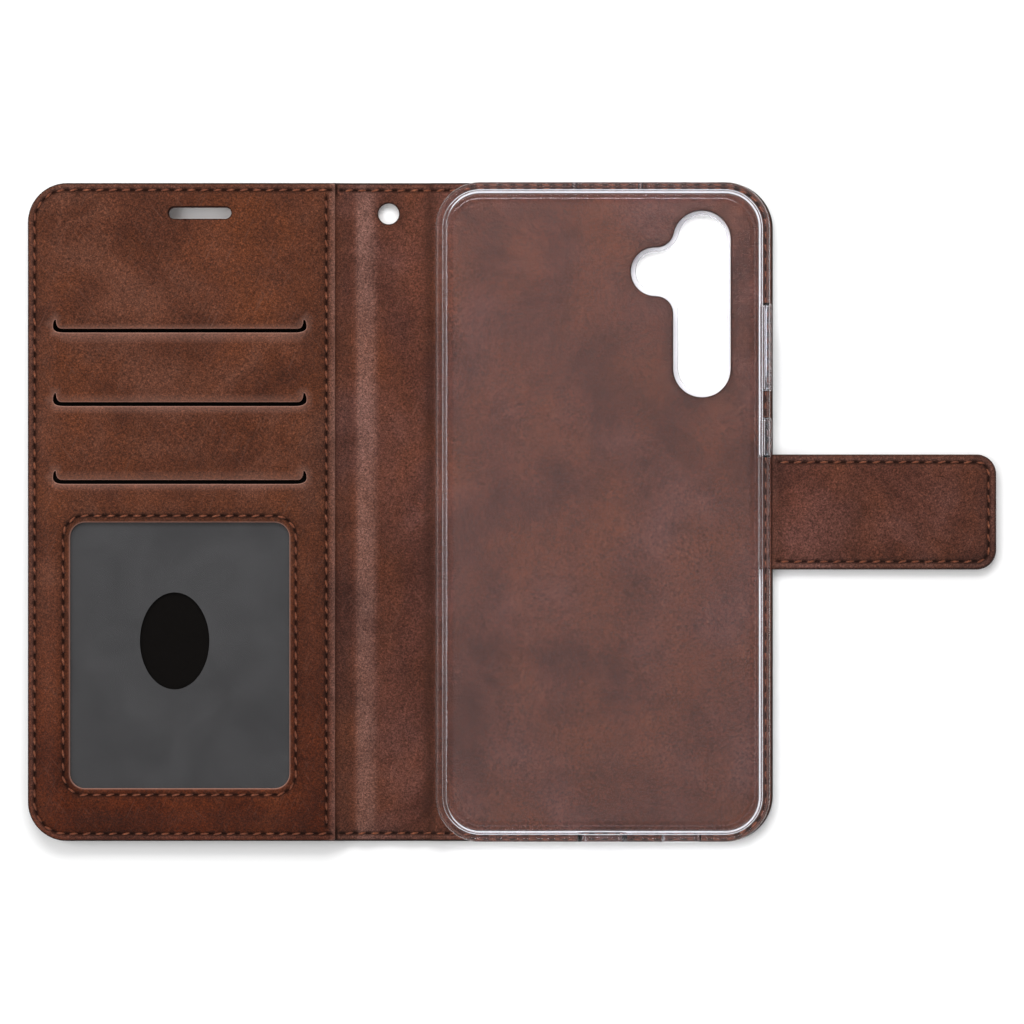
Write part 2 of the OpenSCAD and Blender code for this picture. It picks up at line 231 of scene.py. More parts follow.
def c_path(x_start, x_far, low, high, r, step=0.3):
    """From (x_start, high) round two corners at x_far to (x_start, low)."""
    side, sideways = (1, 0) if x_far > x_start else (-1, 180)
    turn = x_far - side * r
    points = [(x_start, high)]
    points += arc((turn, high - r), r, 90, sideways, step)
    points += arc((turn, low + r), r, sideways, sideways - 90 * side, step)
    points.append((x_start, low))
    return refined(points, step, closed=False)


def ellipse_loop(centre, half, step=0.5):
    n = round(2 * math.pi * max(half) / step)
    angles = np.linspace(0, 2 * math.pi, n, endpoint=False)
    return [(centre[0] + half[0] * math.cos(a), centre[1] + half[1] * math.sin(a)) for a in angles]


def turn_between(centre, p, q, anticlockwise, step):
    """The arc from p to q about a centre, in the direction asked for."""
    start = math.degrees(math.atan2(p[1] - centre[1], p[0] - centre[0]))
    end = math.degrees(math.atan2(q[1] - centre[1], q[0] - centre[0]))
    if anticlockwise and end < start:
        end += 360
    if not anticlockwise and end > start:
        end -= 360
    return arc(centre, math.dist(centre, p), start, end, step)


def meeting(a, ra, b, rb):
    """The point at distance ra from a and rb from b, on the left of the way from a to b."""
    d = np.linalg.norm(b - a)
    along = (ra * ra - rb * rb + d * d) / (2 * d)
    across = math.sqrt(ra * ra - along * along)
    u = (b - a) / d
    return a + along * u + across * np.array([-u[1], u[0]])


def camera_loop(grow, step=0.5):
    """The camera cut-out's outline: three lenses in a column, and a light beside the upper two."""
    rc, rl, rb = LENS_R + grow, LIGHT_R + grow, WEB_R - grow
    x = COLUMN[:, 0].mean()
    lower, upper = np.array([x, COLUMN[0][1]]), np.array([x, COLUMN[1][1]])
    over = meeting(LIGHT, rl + rb, upper, rc + rb)
    under_x = x - rc - rb
    drop = math.sqrt((rl + rb) ** 2 - (under_x - LIGHT[0]) ** 2)
    under = np.array([under_x, LIGHT[1] - drop])

    def touch(centre, r, other):
        return centre + (other - centre) * r / np.linalg.norm(other - centre)

    joins = [
        upper + (rc, 0), touch(upper, rc, over), touch(LIGHT, rl, over),
        touch(LIGHT, rl, under), under + (rb, 0),
    ]
    points = []
    for i, centre in enumerate((upper, over, LIGHT, under)):
        points += turn_between(centre, joins[i], joins[i + 1], i % 2 == 0, step)
    points += turn_between(lower, lower - (rc, 0), lower + (rc, 0), True, step)
    return refined([tuple(p) for p in points], step)


def curve(p, q, r, n):
    """Points of a curve from p to r that q pulls towards itself."""
    t = np.linspace(0, 1, n + 1)[:, None]
    points = (1 - t) ** 2 * np.array(p) + 2 * t * (1 - t) * np.array(q) + t ** 2 * np.array(r)
    return [tuple(v) for v in points]


def slot_loop(drop, step=0.35):
    """A card slot: a straight cut whose two ends curve up and run to a point."""
    lip = TOP - drop
    half = SLOT_W / 2
    right = curve((half - EAR_W - 0.6, 0), (half + 0.25, 0), (half, EAR_H * 0.55), 10)
    right += curve((half, EAR_H * 0.55), (half - 0.1, EAR_H * 0.95), (half - 0.55, EAR_H), 5)
    right += curve((half - 0.7, EAR_H - 0.08), (half - 0.75, SLOT_H), (half - EAR_W, SLOT_H), 8)
    left = [(-x, y) for x, y in reversed(right)]
    return refined([(POCKET_MID + x, lip + y) for x, y in right + left], step)


def offset(path, d, closed=True):
    """A path moved d to its left."""
    p = np.asarray(path, float)
    ahead = np.roll(p, -1, axis=0) - p
    if not closed:
        ahead[-1] = ahead[-2]
    behind = np.roll(ahead, 1, axis=0)
    if not closed:
        behind[0] = ahead[0]
    normal = np.stack([-(ahead + behind)[:, 1], (ahead + behind)[:, 0]], axis=1)
    normal /= np.linalg.norm(normal, axis=1)[:, None]
    return [tuple(q) for q in p + normal * d]


# ---- Distances and profiles ----


def distance(x, y, path):
    """How far each point is from a path."""
    p = np.asarray(path, float)
    a, d = p[:-1], np.diff(p, axis=0)
    out = np.empty(len(x))
    for i in range(0, len(x), 2048):
        px, py = x[i:i + 2048, None], y[i:i + 2048, None]
        t = ((px - a[:, 0]) * d[:, 0] + (py - a[:, 1]) * d[:, 1]) / (d ** 2).sum(axis=1)
        t = np.clip(t, 0, 1)
        away = (px - a[:, 0] - t * d[:, 0]) ** 2 + (py - a[:, 1] - t * d[:, 1]) ** 2
        out[i:i + 2048] = np.sqrt(away.min(axis=1))
    return out


def loop_distance(x, y, loop):
    return distance(x, y, [*loop, loop[0]])


def inside(x, y, loop):
    p = np.asarray(loop, float)
    q = np.roll(p, -1, axis=0)
    slope = (q[:, 0] - p[:, 0]) / np.where(q[:, 1] == p[:, 1], 1, q[:, 1] - p[:, 1])
    out = np.empty(len(x), bool)
    for i in range(0, len(x), 2048):
        px, py = x[i:i + 2048, None], y[i:i + 2048, None]
        spans = (p[:, 1] > py) != (q[:, 1] > py)
        out[i:i + 2048] = (spans & (px < p[:, 0] + (py - p[:, 1]) * slope)).sum(axis=1) % 2
    return out


def within(p, outline, holes):
    """Which points are inside an outline and outside its holes."""
    keep = inside(p[:, 0], p[:, 1], outline)
    for loop in holes:
        keep &= ~inside(p[:, 0], p[:, 1], loop)
    return keep


def search_tree(points):
    """A search tree over the places of some points."""
    tree = kdtree.KDTree(len(points))
    for i, p in enumerate(points):
        tree.insert((p[0], p[1], 0), i)
    tree.balance()
    return tree


def smooth(v, start, end):
    """A step from 0 to 1 with soft ends."""
    t = np.clip((v - start) / (end - start), 0, 1)
    return t * t * (3 - 2 * t)


def fall(v, start, end):
    """A step from 1 to 0 with soft ends."""
    return smooth(-v, -end, -start)


def hill(v, start, full, last, end):
    """1 from full to last, with a soft way down to 0 on either side."""
    return smooth(v, start, full) * fall(v, last, end)


def bump(v, middle, width):
    return np.exp(-((v - middle) / width) ** 2)


def plateau(v, middle, half_width):
    """1 across a flat-topped band, 0 beyond it."""
    return np.exp(-(((v - middle) / half_width) ** 4))


def round_over(d, r):
    """How far an edge of radius r has dropped at distance d from it."""
    t = np.clip(1 - d / r, 0, 1)
    return r * (1 - np.sqrt(1 - t * t))


def waves(x, y, scale, seed):
    """A gentle unevenness between -1 and 1, the same at each run."""
    rng = np.random.default_rng(seed)
    total = np.zeros(len(x))
    for k in range(5):
        a, phase = rng.uniform(0, math.pi), rng.uniform(0, 2 * math.pi)
        total += np.sin((x * math.cos(a) + y * math.sin(a)) / scale * (1 + 0.45 * k) + phase)
    return total / 5


# ---- Seams ----


class Seam:
    """A line of stitches along a path, with a needle hole between each two."""

    def __init__(self, path, closed=False):
        self.path = list(path) + [path[0]] if closed else list(path)
        self.closed = closed
        self.points = np.asarray(self.path, float)
        steps = np.linalg.norm(np.diff(self.points, axis=0), axis=1)
        self.lengths = np.concatenate([[0], np.cumsum(steps)])
        self.count = round(self.lengths[-1] / STITCH_PITCH)
        self.pitch = self.lengths[-1] / self.count
        self.stitches = [self.at((i + 0.5) * self.pitch) for i in range(self.count)]
        self.holes = [self.at(i * self.pitch) for i in range(self.count + (not closed))]

    def at(self, s):
        """The place and the heading at a distance along the seam."""
        s = min(max(s, 1e-6), self.lengths[-1] - 1e-6)
        i = int(np.searchsorted(self.lengths, s)) - 1
        t = (s - self.lengths[i]) / (self.lengths[i + 1] - self.lengths[i])
        d = self.points[i + 1] - self.points[i]
        x, y = self.points[i] + t * d
        return x, y, math.atan2(d[1], d[0])

    def guides(self):
        """The lines of mesh points that carry the channel's shape."""
        return [offset(self.path, d, closed=False) for d in (-0.75, -0.35, 0, 0.35, 0.75)]

    def shape(self, x, y):
        """Depth of the pulled-in channel and its needle holes, and the painted shade in and beside them."""
        away = distance(x, y, self.path)
        pit = np.zeros(len(x))
        tree = search_tree(self.holes)
        for k in np.nonzero(away < 2)[0]:
            _, i, _ = tree.find((x[k], y[k], 0))
            hx, hy, a = self.holes[i]
            along = (x[k] - hx) * math.cos(a) + (y[k] - hy) * math.sin(a)
            across = (y[k] - hy) * math.cos(a) - (x[k] - hx) * math.sin(a)
            pit[k] = math.exp(-((along / PIT_HALF[0]) ** 4) - (across / PIT_HALF[1]) ** 2)
        depth = CHANNEL_DEPTH * bump(away, 0, 0.62) + PIT_DEPTH * pit
        shade = 0.12 * bump(away, 0, 2.0) + 0.38 * bump(away, 0, 0.6) + 0.9 * pit
        return depth, np.clip(shade, 0, 1)


def stitch_run(seam, heights, top, low=-math.inf, high=math.inf):
    """The stitches of a seam whose X lies between two places, on the top or the underside of a sheet."""
    places = [s for s in seam.stitches if low < s[0] < high]
    x, y = np.array([s[0] for s in places]), np.array([s[1] for s in places])
    below, above, _ = heights(x, y)
    z, up = (above, 1) if top else (below, -1)
    return [(*s, z[i], up, (seam.pitch - STITCH_GAP) / 2) for i, s in enumerate(places)]


def band(a, b):
    """Quads between two closed rows of points."""
    return [list(f) for f in zip(a, a[1:] + a[:1], b[1:] + b[:1], b)]


def add_row(verts, points):
    """Adds points to a mesh's list, and gives their numbers."""
    verts += points
    return list(range(len(verts) - len(points), len(verts)))


def capped(rows):
    """Faces that join rows of points into a closed tube."""
    faces = [rows[0][::-1]]
    for a, b in zip(rows, rows[1:]):
        faces += band(a, b)
    return faces + [rows[-1]]


def thread_mesh(name, stitches):
    """Stitches of two-ply thread, each dipping into the leather at both ends."""
    rings, sides = 11, 10
    verts, faces, along = [], [], []
    for x, y, angle, z, up, half in stitches:
        wobble = math.sin(7.1 * x + 3.3 * y)
        a = angle + math.radians(STITCH_SLANT + STITCH_WOBBLE * wobble) * up
        z += 0.04 * wobble * up
        rows = []
        for i in range(rings):
            ring = []
            t = -1 + 2 * i / (rings - 1)
            rise = 0.16 - 0.42 * abs(t) ** 3.2
            r = THREAD_R * math.sqrt(max(1 - abs(t) ** 6, 0.12))
            for k in range(sides):
                turn = 2 * math.pi * k / sides
                ply = r * (1 + 0.22 * math.cos(2 * (turn - 2.4 * t)))
                side, height = ply * math.cos(turn), ply * 0.85 * math.sin(turn) + rise
                ring.append((
                    x + math.cos(a) * t * half - math.sin(a) * side,
                    y + math.sin(a) * t * half + math.cos(a) * side,
                    z + up * height,
                ))
            rows.append(add_row(verts, ring))
            along += [t] * sides
        faces += capped(rows) if up < 0 else [f[::-1] for f in capped(rows)]
    return mesh_object(name, verts, faces, {"along": along}, angle=80)


# ---- Meshes ----


def linked(name, data):
    """A new object in the scene."""
    obj = bpy.data.objects.new(name, data)
    bpy.context.scene.collection.objects.link(obj)
    return obj


def mesh_object(name, verts, faces, values=None, angle=38):
    """An object from points in millimetres. It stores each point's place at rest for the materials."""
    mesh = bpy.data.meshes.new(name)
    mesh.from_pydata([tuple(c * MM for c in v) for v in verts], [], faces)
    mesh.validate()
    mesh.update()
    rest = mesh.attributes.new("rest", "FLOAT_VECTOR", "POINT")
    rest.data.foreach_set("vector", np.asarray(verts, np.float32).ravel())
    for key, v in (values or {}).items():
        mesh.attributes.new(key, "FLOAT", "POINT").data.foreach_set("value", np.asarray(v, np.float32))
    mesh.shade_smooth()
    mesh.set_sharp_from_angle(angle=math.radians(angle))
    return linked(name, mesh)


def lattice(low, high, dx, dy):
    xs = np.linspace(low[0], high[0], max(2, round((high[0] - low[0]) / dx) + 1))
    ys = np.linspace(low[1], high[1], max(2, round((high[1] - low[1]) / dy) + 1))
    return [(x, y) for x in xs for y in ys]


def triangulated(outline, holes, guides, strips, spacing):
    """Points and triangles that fill an outline, with points along every guide.

    A strip is a box filled with a lattice of its own.
    """
    points, edges = [], []

    def add(path, closed):
        first = len(points)
        points.extend(path)
        edges.extend((first + i, first + i + 1) for i in range(len(path) - 1))
        if closed:
            edges.append((len(points) - 1, first))

    add(outline, True)
    for loop in holes:
        add(loop, True)
    for path, closed in guides:
        p = np.asarray(path, float)
        keep = within(p, outline, holes)
        if keep.all():
            add(path, closed)
        else:
            points.extend(tuple(q) for q in p[keep])
    tree = search_tree(points)
    p = np.asarray(outline, float)
    field = []
    for low, high, dx, dy in strips:
        field += [(q, 0.45 * min(dx, dy)) for q in lattice(low, high, dx, dy)]
    for q in lattice(p.min(axis=0), p.max(axis=0), spacing, spacing):
        if not any(lo[0] - 0.3 < q[0] < hi[0] + 0.3 and lo[1] <= q[1] <= hi[1] for lo, hi, _, _ in strips):
            field.append((q, 0.55 * spacing))
    q = np.array([q for q, room in field if tree.find((q[0], q[1], 0))[2] > room])
    points += [tuple(v) for v in q[within(q, outline, holes)]]
    made = delaunay_2d_cdt([Vector(v) for v in points], edges, [], 0, 1e-4)
    co = np.array([tuple(v) for v in made[0]])
    tris = np.array([f for f in made[2] if len(f) == 3])
    tris = tris[within(co[tris].mean(axis=1), outline, holes)]
    a, b, c = co[tris[:, 0]], co[tris[:, 1]], co[tris[:, 2]]
    area = (b[:, 0] - a[:, 0]) * (c[:, 1] - a[:, 1]) - (c[:, 0] - a[:, 0]) * (b[:, 1] - a[:, 1])
    tris[area < 0] = tris[area < 0][:, ::-1]
    used, tris = used_only(len(co), tris[np.abs(area) > 1e-7])
    return co[used], tris


def used_only(count, faces):
    """The points that faces use, and the faces with those points' new numbers."""
    used = np.unique(np.array([i for f in faces for i in f]))
    renumber = np.full(count, -1)
    renumber[used] = np.arange(len(used))
    return used, [[int(renumber[i]) for i in f] for f in faces]


def boundary_edges(tris):
    """Directed edges that only one triangle has."""
    directed = {(t[i], t[(i + 1) % 3]) for t in tris for i in range(3)}
    return [e for e in directed if (e[1], e[0]) not in directed]


def sheet_mesh(name, outline, heights, holes=(), guides=(), strips=(), spacing=2.2, angle=38):
    """A closed sheet over an outline.

    heights(x, y) gives its low side, its high side and the values that the materials read.
    """
    co, tris = triangulated(outline, list(holes), list(guides), list(strips), spacing)
    x, y = co[:, 0], co[:, 1]
    low, high, values = heights(x, y)
    n = len(co)
    edges = boundary_edges(tris)
    lower = np.arange(n) + n
    for i in {i for e in edges for i in e}:
        if high[i] - low[i] < 1e-3:
            lower[i] = i
    verts = np.concatenate([np.stack([x, y, high], axis=1), np.stack([x, y, low], axis=1)])
    faces = tris + [[lower[c], lower[b], lower[a]] for a, b, c in tris]
    walls = [list(dict.fromkeys([j, i, lower[i], lower[j]])) for i, j in edges]
    faces += [f for f in walls if len(f) > 2]
    used, faces = used_only(2 * n, faces)
    stored = {k: np.concatenate([v, v])[used] for k, v in values.items()}
    return mesh_object(name, verts[used].tolist(), faces, stored, angle)


# ---- Materials ----


def material(name):
    m = bpy.data.materials.new(name)
    m.use_nodes = True
    return m, m.node_tree


def put(nt, n, inputs):
    """Links or sets a node's inputs."""
    for k, v in inputs.items():
        if isinstance(v, bpy.types.NodeSocket):
            nt.links.new(v, n.inputs[k])
        else:
            n.inputs[k].default_value = v


def node(nt, kind, inputs=None, **settings):
    n = nt.nodes.new(kind)
    for k, v in settings.items():
        setattr(n, k, v)
    put(nt, n, inputs or {})
    return n


def surface(m, colour, rough, more, relief=None):
    """Sets a material's shader. relief is a bump's strength, its depth in millimetres and its height."""
    nt = m.node_tree
    inputs = {"Base Color": colour, "Roughness": rough, **more}
    if relief:
        strength, depth, height = relief
        made = node(nt, "ShaderNodeBump", {"Strength": strength, "Distance": depth * MM, "Height": height})
        inputs["Normal"] = made.outputs["Normal"]
    put(nt, nt.nodes["Principled BSDF"], inputs)
    return m


def attribute(nt, name, output="Fac"):
    return node(nt, "ShaderNodeAttribute", attribute_name=name).outputs[output]


def stretched(nt, place, scale):
    return node(nt, "ShaderNodeVectorMath", {0: place, 1: scale}, operation="MULTIPLY").outputs[0]


def rest_place(nt, scale=(1, 1, 1)):
    """The point's place at rest, in millimetres, so that a pattern stays put when a piece bends."""
    return stretched(nt, attribute(nt, "rest", "Vector"), scale)


def turned(nt, degrees, scale):
    """The place at rest, turned about Z and then stretched."""
    inputs = {"Vector": attribute(nt, "rest", "Vector"), "Rotation": (0, 0, math.radians(degrees))}
    return stretched(nt, node(nt, "ShaderNodeMapping", inputs).outputs[0], scale)


def object_place(nt):
    """Object coordinates in millimetres, for CAD nodes, which store no place at rest."""
    return stretched(nt, node(nt, "ShaderNodeTexCoord").outputs["Object"], (1 / MM,) * 3)


def noise(nt, place, scale, detail=3.0, rough=0.55, warp=0.0):
    inputs = {"Vector": place, "Scale": scale, "Detail": detail, "Roughness": rough, "Distortion": warp}
    return node(nt, "ShaderNodeTexNoise", inputs).outputs["Fac"]


def ramp(nt, fac, stops):
    n = node(nt, "ShaderNodeValToRGB", {"Fac": fac})
    while len(n.color_ramp.elements) < len(stops):
        n.color_ramp.elements.new(0.5)
    for e, (position, colour) in zip(n.color_ramp.elements, stops):
        e.position = position
        e.color = (*colour, 1)
    return n.outputs["Color"]


def mix(nt, a, b, fac, blend="MIX"):
    """Two colours mixed. A mix node's colours are its inputs 6 and 7, and its output 2."""
    a, b = (v if isinstance(v, bpy.types.NodeSocket) else (*v, 1) for v in (a, b))
    n = node(nt, "ShaderNodeMix", data_type="RGBA", blend_type=blend)
    put(nt, n, {0: fac, 6: a, 7: b})
    return n.outputs[2]


def maths(nt, operation, a, b=0.0, clamp=False):
    return node(nt, "ShaderNodeMath", {0: a, 1: b}, operation=operation, use_clamp=clamp).outputs[0]


def contrast(nt, value, low, high, to_low, to_high):
    inputs = {"Value": value, "From Min": low, "From Max": high, "To Min": to_low, "To Max": to_high}
    return node(nt, "ShaderNodeMapRange", inputs).outputs["Result"]


def varied(nt, colour, pattern, low, high, darkest, lightest, fac=1.0):
    """A colour made darker and lighter by a pattern."""
    return mix(nt, colour, contrast(nt, pattern, low, high, darkest, lightest), fac, "MULTIPLY")


DARK_BROWN = (0.056, 0.0155, 0.008)
BROWN = (0.082, 0.0242, 0.0128)
LIGHT_BROWN = (0.106, 0.036, 0.022)
RUSSET = (0.108, 0.0285, 0.0105)
RUBBED_AND_SHEEN = (0.27, 0.145, 0.12)
SCRATCHED = (0.18, 0.08, 0.055)
SHADED = (0.012, 0.0035, 0.0018)
CUT_EDGE = (0.36, 0.19, 0.145)


def leather(name, tint, grain=1.0, bottom_shade_tint=None):
    """Waxed synthetic leather: blotches of red and dark brown, fine pebbles, faint scratches."""
    m, nt = material(name)
    place = rest_place(nt)
    broad = noise(nt, place, 0.045, 4, 0.62, 0.7)
    patches = noise(nt, place, 0.13, 4, 0.62, 0.4)
    warm = noise(nt, rest_place(nt, (1, 0.7, 1)), 0.07, 3, 0.5)
    base = ramp(nt, broad, [(0.34, DARK_BROWN), (0.5, BROWN), (0.66, LIGHT_BROWN)])
    base = mix(nt, base, RUSSET, contrast(nt, warm, 0.42, 0.68, 0.0, 0.75))
    base = varied(nt, base, patches, 0.33, 0.67, 0.89, 1.11)
    # Painted shade: darker and more orange towards the panel's bottom, where less light falls.
    if bottom_shade_tint:
        height_up = node(nt, "ShaderNodeSeparateXYZ", {0: place}).outputs["Y"]
        tint = mix(nt, bottom_shade_tint, tint, contrast(nt, height_up, BOTTOM, 0.0, 0.0, 1.0))
    base = mix(nt, base, tint, 1.0, "MULTIPLY")
    # Lightens the leather towards a pale grey-brown: rubbing and painted sheen on the beads by the edges, and a
    # painted sheen highlight on the spine's raised crest.
    wear = maths(nt, "MULTIPLY", attribute(nt, "wear"), contrast(nt, patches, 0.35, 0.65, 0.5, 1.1))
    base = mix(nt, base, RUBBED_AND_SHEEN, maths(nt, "MULTIPLY", wear, 0.68))
    base = varied(nt, base, noise(nt, place, 1.8, 3, 0.8), 0.3, 0.7, 0.52, 1.48)
    base = varied(nt, base, noise(nt, place, 3.6, 2, 0.6), 0.3, 0.7, 0.6, 1.4)
    cells = node(nt, "ShaderNodeTexVoronoi", {"Vector": place, "Scale": 1.7, "Randomness": 1.0}, feature="F1")
    pebbles = cells.outputs["Distance"]
    base = varied(nt, base, pebbles, 0.1, 0.7, 1.12, 0.78)
    lines = [noise(nt, turned(nt, degrees, (2.6, 0.13, 1)), 1.0, 4, 0.6) for degrees in (24, -38)]
    marks = maths(nt, "MAXIMUM", *[contrast(nt, v, 0.58, 0.74, 0.0, 1.0) for v in lines])
    base = mix(nt, base, SCRATCHED, maths(nt, "MULTIPLY", marks, 0.28))
    base = mix(nt, base, SHADED, attribute(nt, "shade"))
    base = mix(nt, base, CUT_EDGE, attribute(nt, "raw"))
    rough = contrast(nt, noise(nt, place, 0.3, 4, 0.6), 0.35, 0.65, 0.36, 0.54)
    rough = maths(nt, "ADD", rough, maths(nt, "MULTIPLY", attribute(nt, "shade"), 0.3), clamp=True)
    height = maths(nt, "SUBTRACT", noise(nt, place, 2.6, 3, 0.7), maths(nt, "MULTIPLY", pebbles, 0.8))
    height = maths(nt, "SUBTRACT", height, maths(nt, "MULTIPLY", marks, 0.25))
    return surface(m, base, rough, {"Specular IOR Level": 0.18}, (0.8 * grain, 0.14, height))


def thread_material():
    """Russet polyester thread, its fibres running along a twist."""
    m, nt = material("thread")
    place = rest_place(nt)
    stops = [(0.3, (0.09, 0.024, 0.011)), (0.55, (0.165, 0.046, 0.02)), (0.75, (0.27, 0.095, 0.045))]
    colour = ramp(nt, noise(nt, place, 1.4, 3), stops)
    fibres = noise(nt, rest_place(nt, (1, 1, 0.5)), 9.0, 3, 0.7)
    colour = varied(nt, colour, fibres, 0, 1, 0.6, 1.4, fac=0.7)
    # Painted shade where each stitch dips into its needle hole.
    ends = maths(nt, "POWER", maths(nt, "ABSOLUTE", attribute(nt, "along")), 5.0)
    colour = mix(nt, colour, (0.02, 0.006, 0.003), maths(nt, "MULTIPLY", ends, 0.85))
    return surface(m, colour, 0.55, {"Specular IOR Level": 0.28, "Sheen Weight": 0.08}, (0.5, 0.06, fibres))


def textile_material():
    """Dark plain-woven pocket cloth."""
    m, nt = material("pocket_cloth")
    parts = node(nt, "ShaderNodeSeparateXYZ", {0: attribute(nt, "rest", "Vector")})
    warp, weft = (maths(nt, "SINE", maths(nt, "MULTIPLY", parts.outputs[k], 12.0)) for k in ("X", "Y"))
    weave = contrast(nt, maths(nt, "MULTIPLY", warp, weft), 0, 1, 0.35, 1.0)
    colour = mix(nt, (0.002, 0.0016, 0.0015), (0.0065, 0.0055, 0.005), weave)
    colour = varied(nt, colour, noise(nt, rest_place(nt), 0.8, 3), 0, 1, 0.7, 1.3, fac=0.6)
    return surface(m, colour, 0.85, {"Specular IOR Level": 0.06}, (0.5, 0.08, weave))


def mottled(name, pattern, dark, light, rough, more, relief=None):
    """A material whose colour follows a noise. relief is its bump's strength and depth."""
    m, nt = material(name)
    mottle = noise(nt, object_place(nt), *pattern)
    colour = ramp(nt, mottle, [(0.3, dark), (0.7, light)])
    return surface(m, colour, rough, more, relief and (*relief, mottle))


def steel_material():
    m, nt = material("steel")
    lines = noise(nt, stretched(nt, object_place(nt), (0.3, 6, 6)), 1.0, 3)
    colour = ramp(nt, lines, [(0.2, (0.5, 0.5, 0.52)), (0.8, (0.7, 0.7, 0.72))])
    return surface(m, colour, contrast(nt, lines, 0, 1, 0.25, 0.42), {"Metallic": 1.0})


def clear_material():
    """Clear soft plastic that bends what is seen through it."""
    m, nt = material("clear_tray")
    rough = contrast(nt, noise(nt, object_place(nt), 0.12, 2), 0, 1, 0.009, 0.021)
    return surface(m, (0.94, 0.94, 0.98, 1), rough, {"Transmission Weight": 1.0, "IOR": 1.49})


LEATHER_OUT = leather("outer_leather", tint=(1.26, 1.25, 1.35))
LEATHER_IN = leather("lining_leather", tint=(1.02, 1.15, 1.42), grain=0.85)
LEATHER_PANEL = leather("panel_leather", tint=(0.98, 1.0, 0.92), bottom_shade_tint=(0.88, 0.54, 0.22))
THREAD = thread_material()
TEXTILE = textile_material()
CLEAR = clear_material()
FILM = mottled(
    "window_film", (0.07, 3, 0.5, 0.8), dark=(0.132, 0.13, 0.135), light=(0.17, 0.168, 0.174), rough=0.16,
    more={"Transmission Weight": 0.7, "Specular IOR Level": 0.2}, relief=(0.15, 0.3),
)
BOARD = mottled("board", (1.6, 5, 0.7), (0.2, 0.15, 0.1), (0.36, 0.29, 0.2), 0.9, {}, relief=(0.3, 0.1))
STEEL = steel_material()
ADHESIVE = mottled("adhesive", (0.5, 3, 0.5), (0.3, 0.27, 0.25), (0.42, 0.38, 0.36), 0.4, {"Alpha": 0.015})
CAD_MATERIALS = {"board": BOARD, "steel": STEEL, "adhesive": ADHESIVE}
for part in record["subparts"]:
    if part["material_slot"] in CAD_MATERIALS:
        slots = frame["nodes"][part["node"]].data.materials
        slots.clear()
        slots.append(CAD_MATERIALS[part["material_slot"]])


def finish_piece(piece, mat, replaces=()):
    piece.data.materials.append(mat)
    if replaces:
        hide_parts(*replaces)
    return piece


def bend(piece):
    """Bakes a piece's placement into its mesh."""
    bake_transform(piece)


# ---- Covers ----


def cover_path(x_far, corner_r, inset=0.0):
    """Three sides of a cover, from the middle of the spine and back to it."""
    return c_path(SPLIT, x_far, BOTTOM + inset, TOP - inset, corner_r - inset)


def front_loop(inset):
    r = FRONT_CORNER_R - inset
    return rounded_loop((LEFT + inset, BOTTOM + inset), (SPLIT, TOP - inset), (r, 0, 0, r))


def back_loop(inset):
    r = BACK_CORNER_R - inset
    return rounded_loop((SPLIT, BOTTOM + inset), (RIGHT - inset, TOP - inset), (0, r, r, 0))


def speaker_loop(grow=0.0):
    w, h = SPEAKER_SIZE[0] / 2 + grow, SPEAKER_SIZE[1] / 2 + grow
    return rounded_loop(SPEAKER - (w, h), SPEAKER + (w, h), (h,) * 4, 0.4)


def cover_level(x):
    """1 over the covers' boards, 0 over the spine, where only the two leathers are."""
    return fall(x, FOLD_1 - 4, FOLD_1 - 0.4) + smooth(x, FOLD_2 - 0.6, FOLD_2 + 0.9)


def fold_lines(x):
    """Painted shade: the thin dark lines in the creases where the leather folds."""
    return 0.34 * bump(x, FOLD_1 + 0.3, 1.2) + 0.5 * bump(x, FOLD_2 - 0.2, 1.5)


def painted(away, width):
    """The dark line of a cut edge."""
    return 0.85 * plateau(away, 0, width)


def welt(from_edge):
    """The bead between the seam and the edge, made lighter by rubbing and a painted sheen highlight."""
    return 0.3 * bump(from_edge, 0.85, 0.55)


def skin_heights(edge, seam, holes, turned_in=()):
    """The outer leather. Its edge, and that of each turned-in hole, is folded up beside the board."""
    def heights(x, y):
        from_edge = distance(x, y, edge)
        depth, shade = seam.shape(x, y)
        strap_gap = fall(np.abs(y), STRAP_HALF + 0.2, STRAP_HALF + 1.0)
        strap_gap *= smooth(x, STRAP_ROOT - 1, STRAP_ROOT)
        rim = fall(from_edge, RIM_W, RIM_W + 0.1) * (1 - strap_gap)
        for loop in turned_in:
            from_slot = loop_distance(x, y, loop)
            rim = np.maximum(rim, fall(from_slot, TURN_W - 0.01, TURN_W + 0.04))
        high = LEATHER_T + (RIM_TOP - LEATHER_T) * rim * cover_level(x)
        rounding = round_over(from_edge, np.minimum(SKIN_ROUND, high / 2))
        high = high - rounding
        low = rounding + np.clip(depth, 0, PULL_MOST)
        raw = np.zeros(len(x))
        for loop in holes:
            from_hole = loop_distance(x, y, loop)
            low += round_over(from_hole, EDGE_ROUND)
            high -= round_over(from_hole, EDGE_ROUND)
            raw = np.maximum(raw, 0.25 * bump(from_hole, 0, 0.25))
        shade = np.maximum.reduce([shade, fold_lines(x), plateau(from_edge, 0, 0.45)])
        return low, np.maximum(high, low), {"shade": shade, "raw": raw, "wear": welt(from_edge)}
    return heights


def fold_strips(x_from, x_to):
    """Fine lattices for the part of each fold that lies between two places."""
    strips = []
    for low, high in ((FOLD_1 - 3.2, FOLD_1 + 6.5), (FOLD_2 - 6.5, FOLD_2 + 1.6)):
        low, high = max(low, x_from + 0.2), min(high, x_to - 0.2)
        if high - low > 1:
            strips.append(((low, BOTTOM + 3), (high, TOP - 3), 0.5, 2.0))
    return strips


def seam_guides(*seams):
    return [(g, False) for seam in seams for g in seam.guides()]


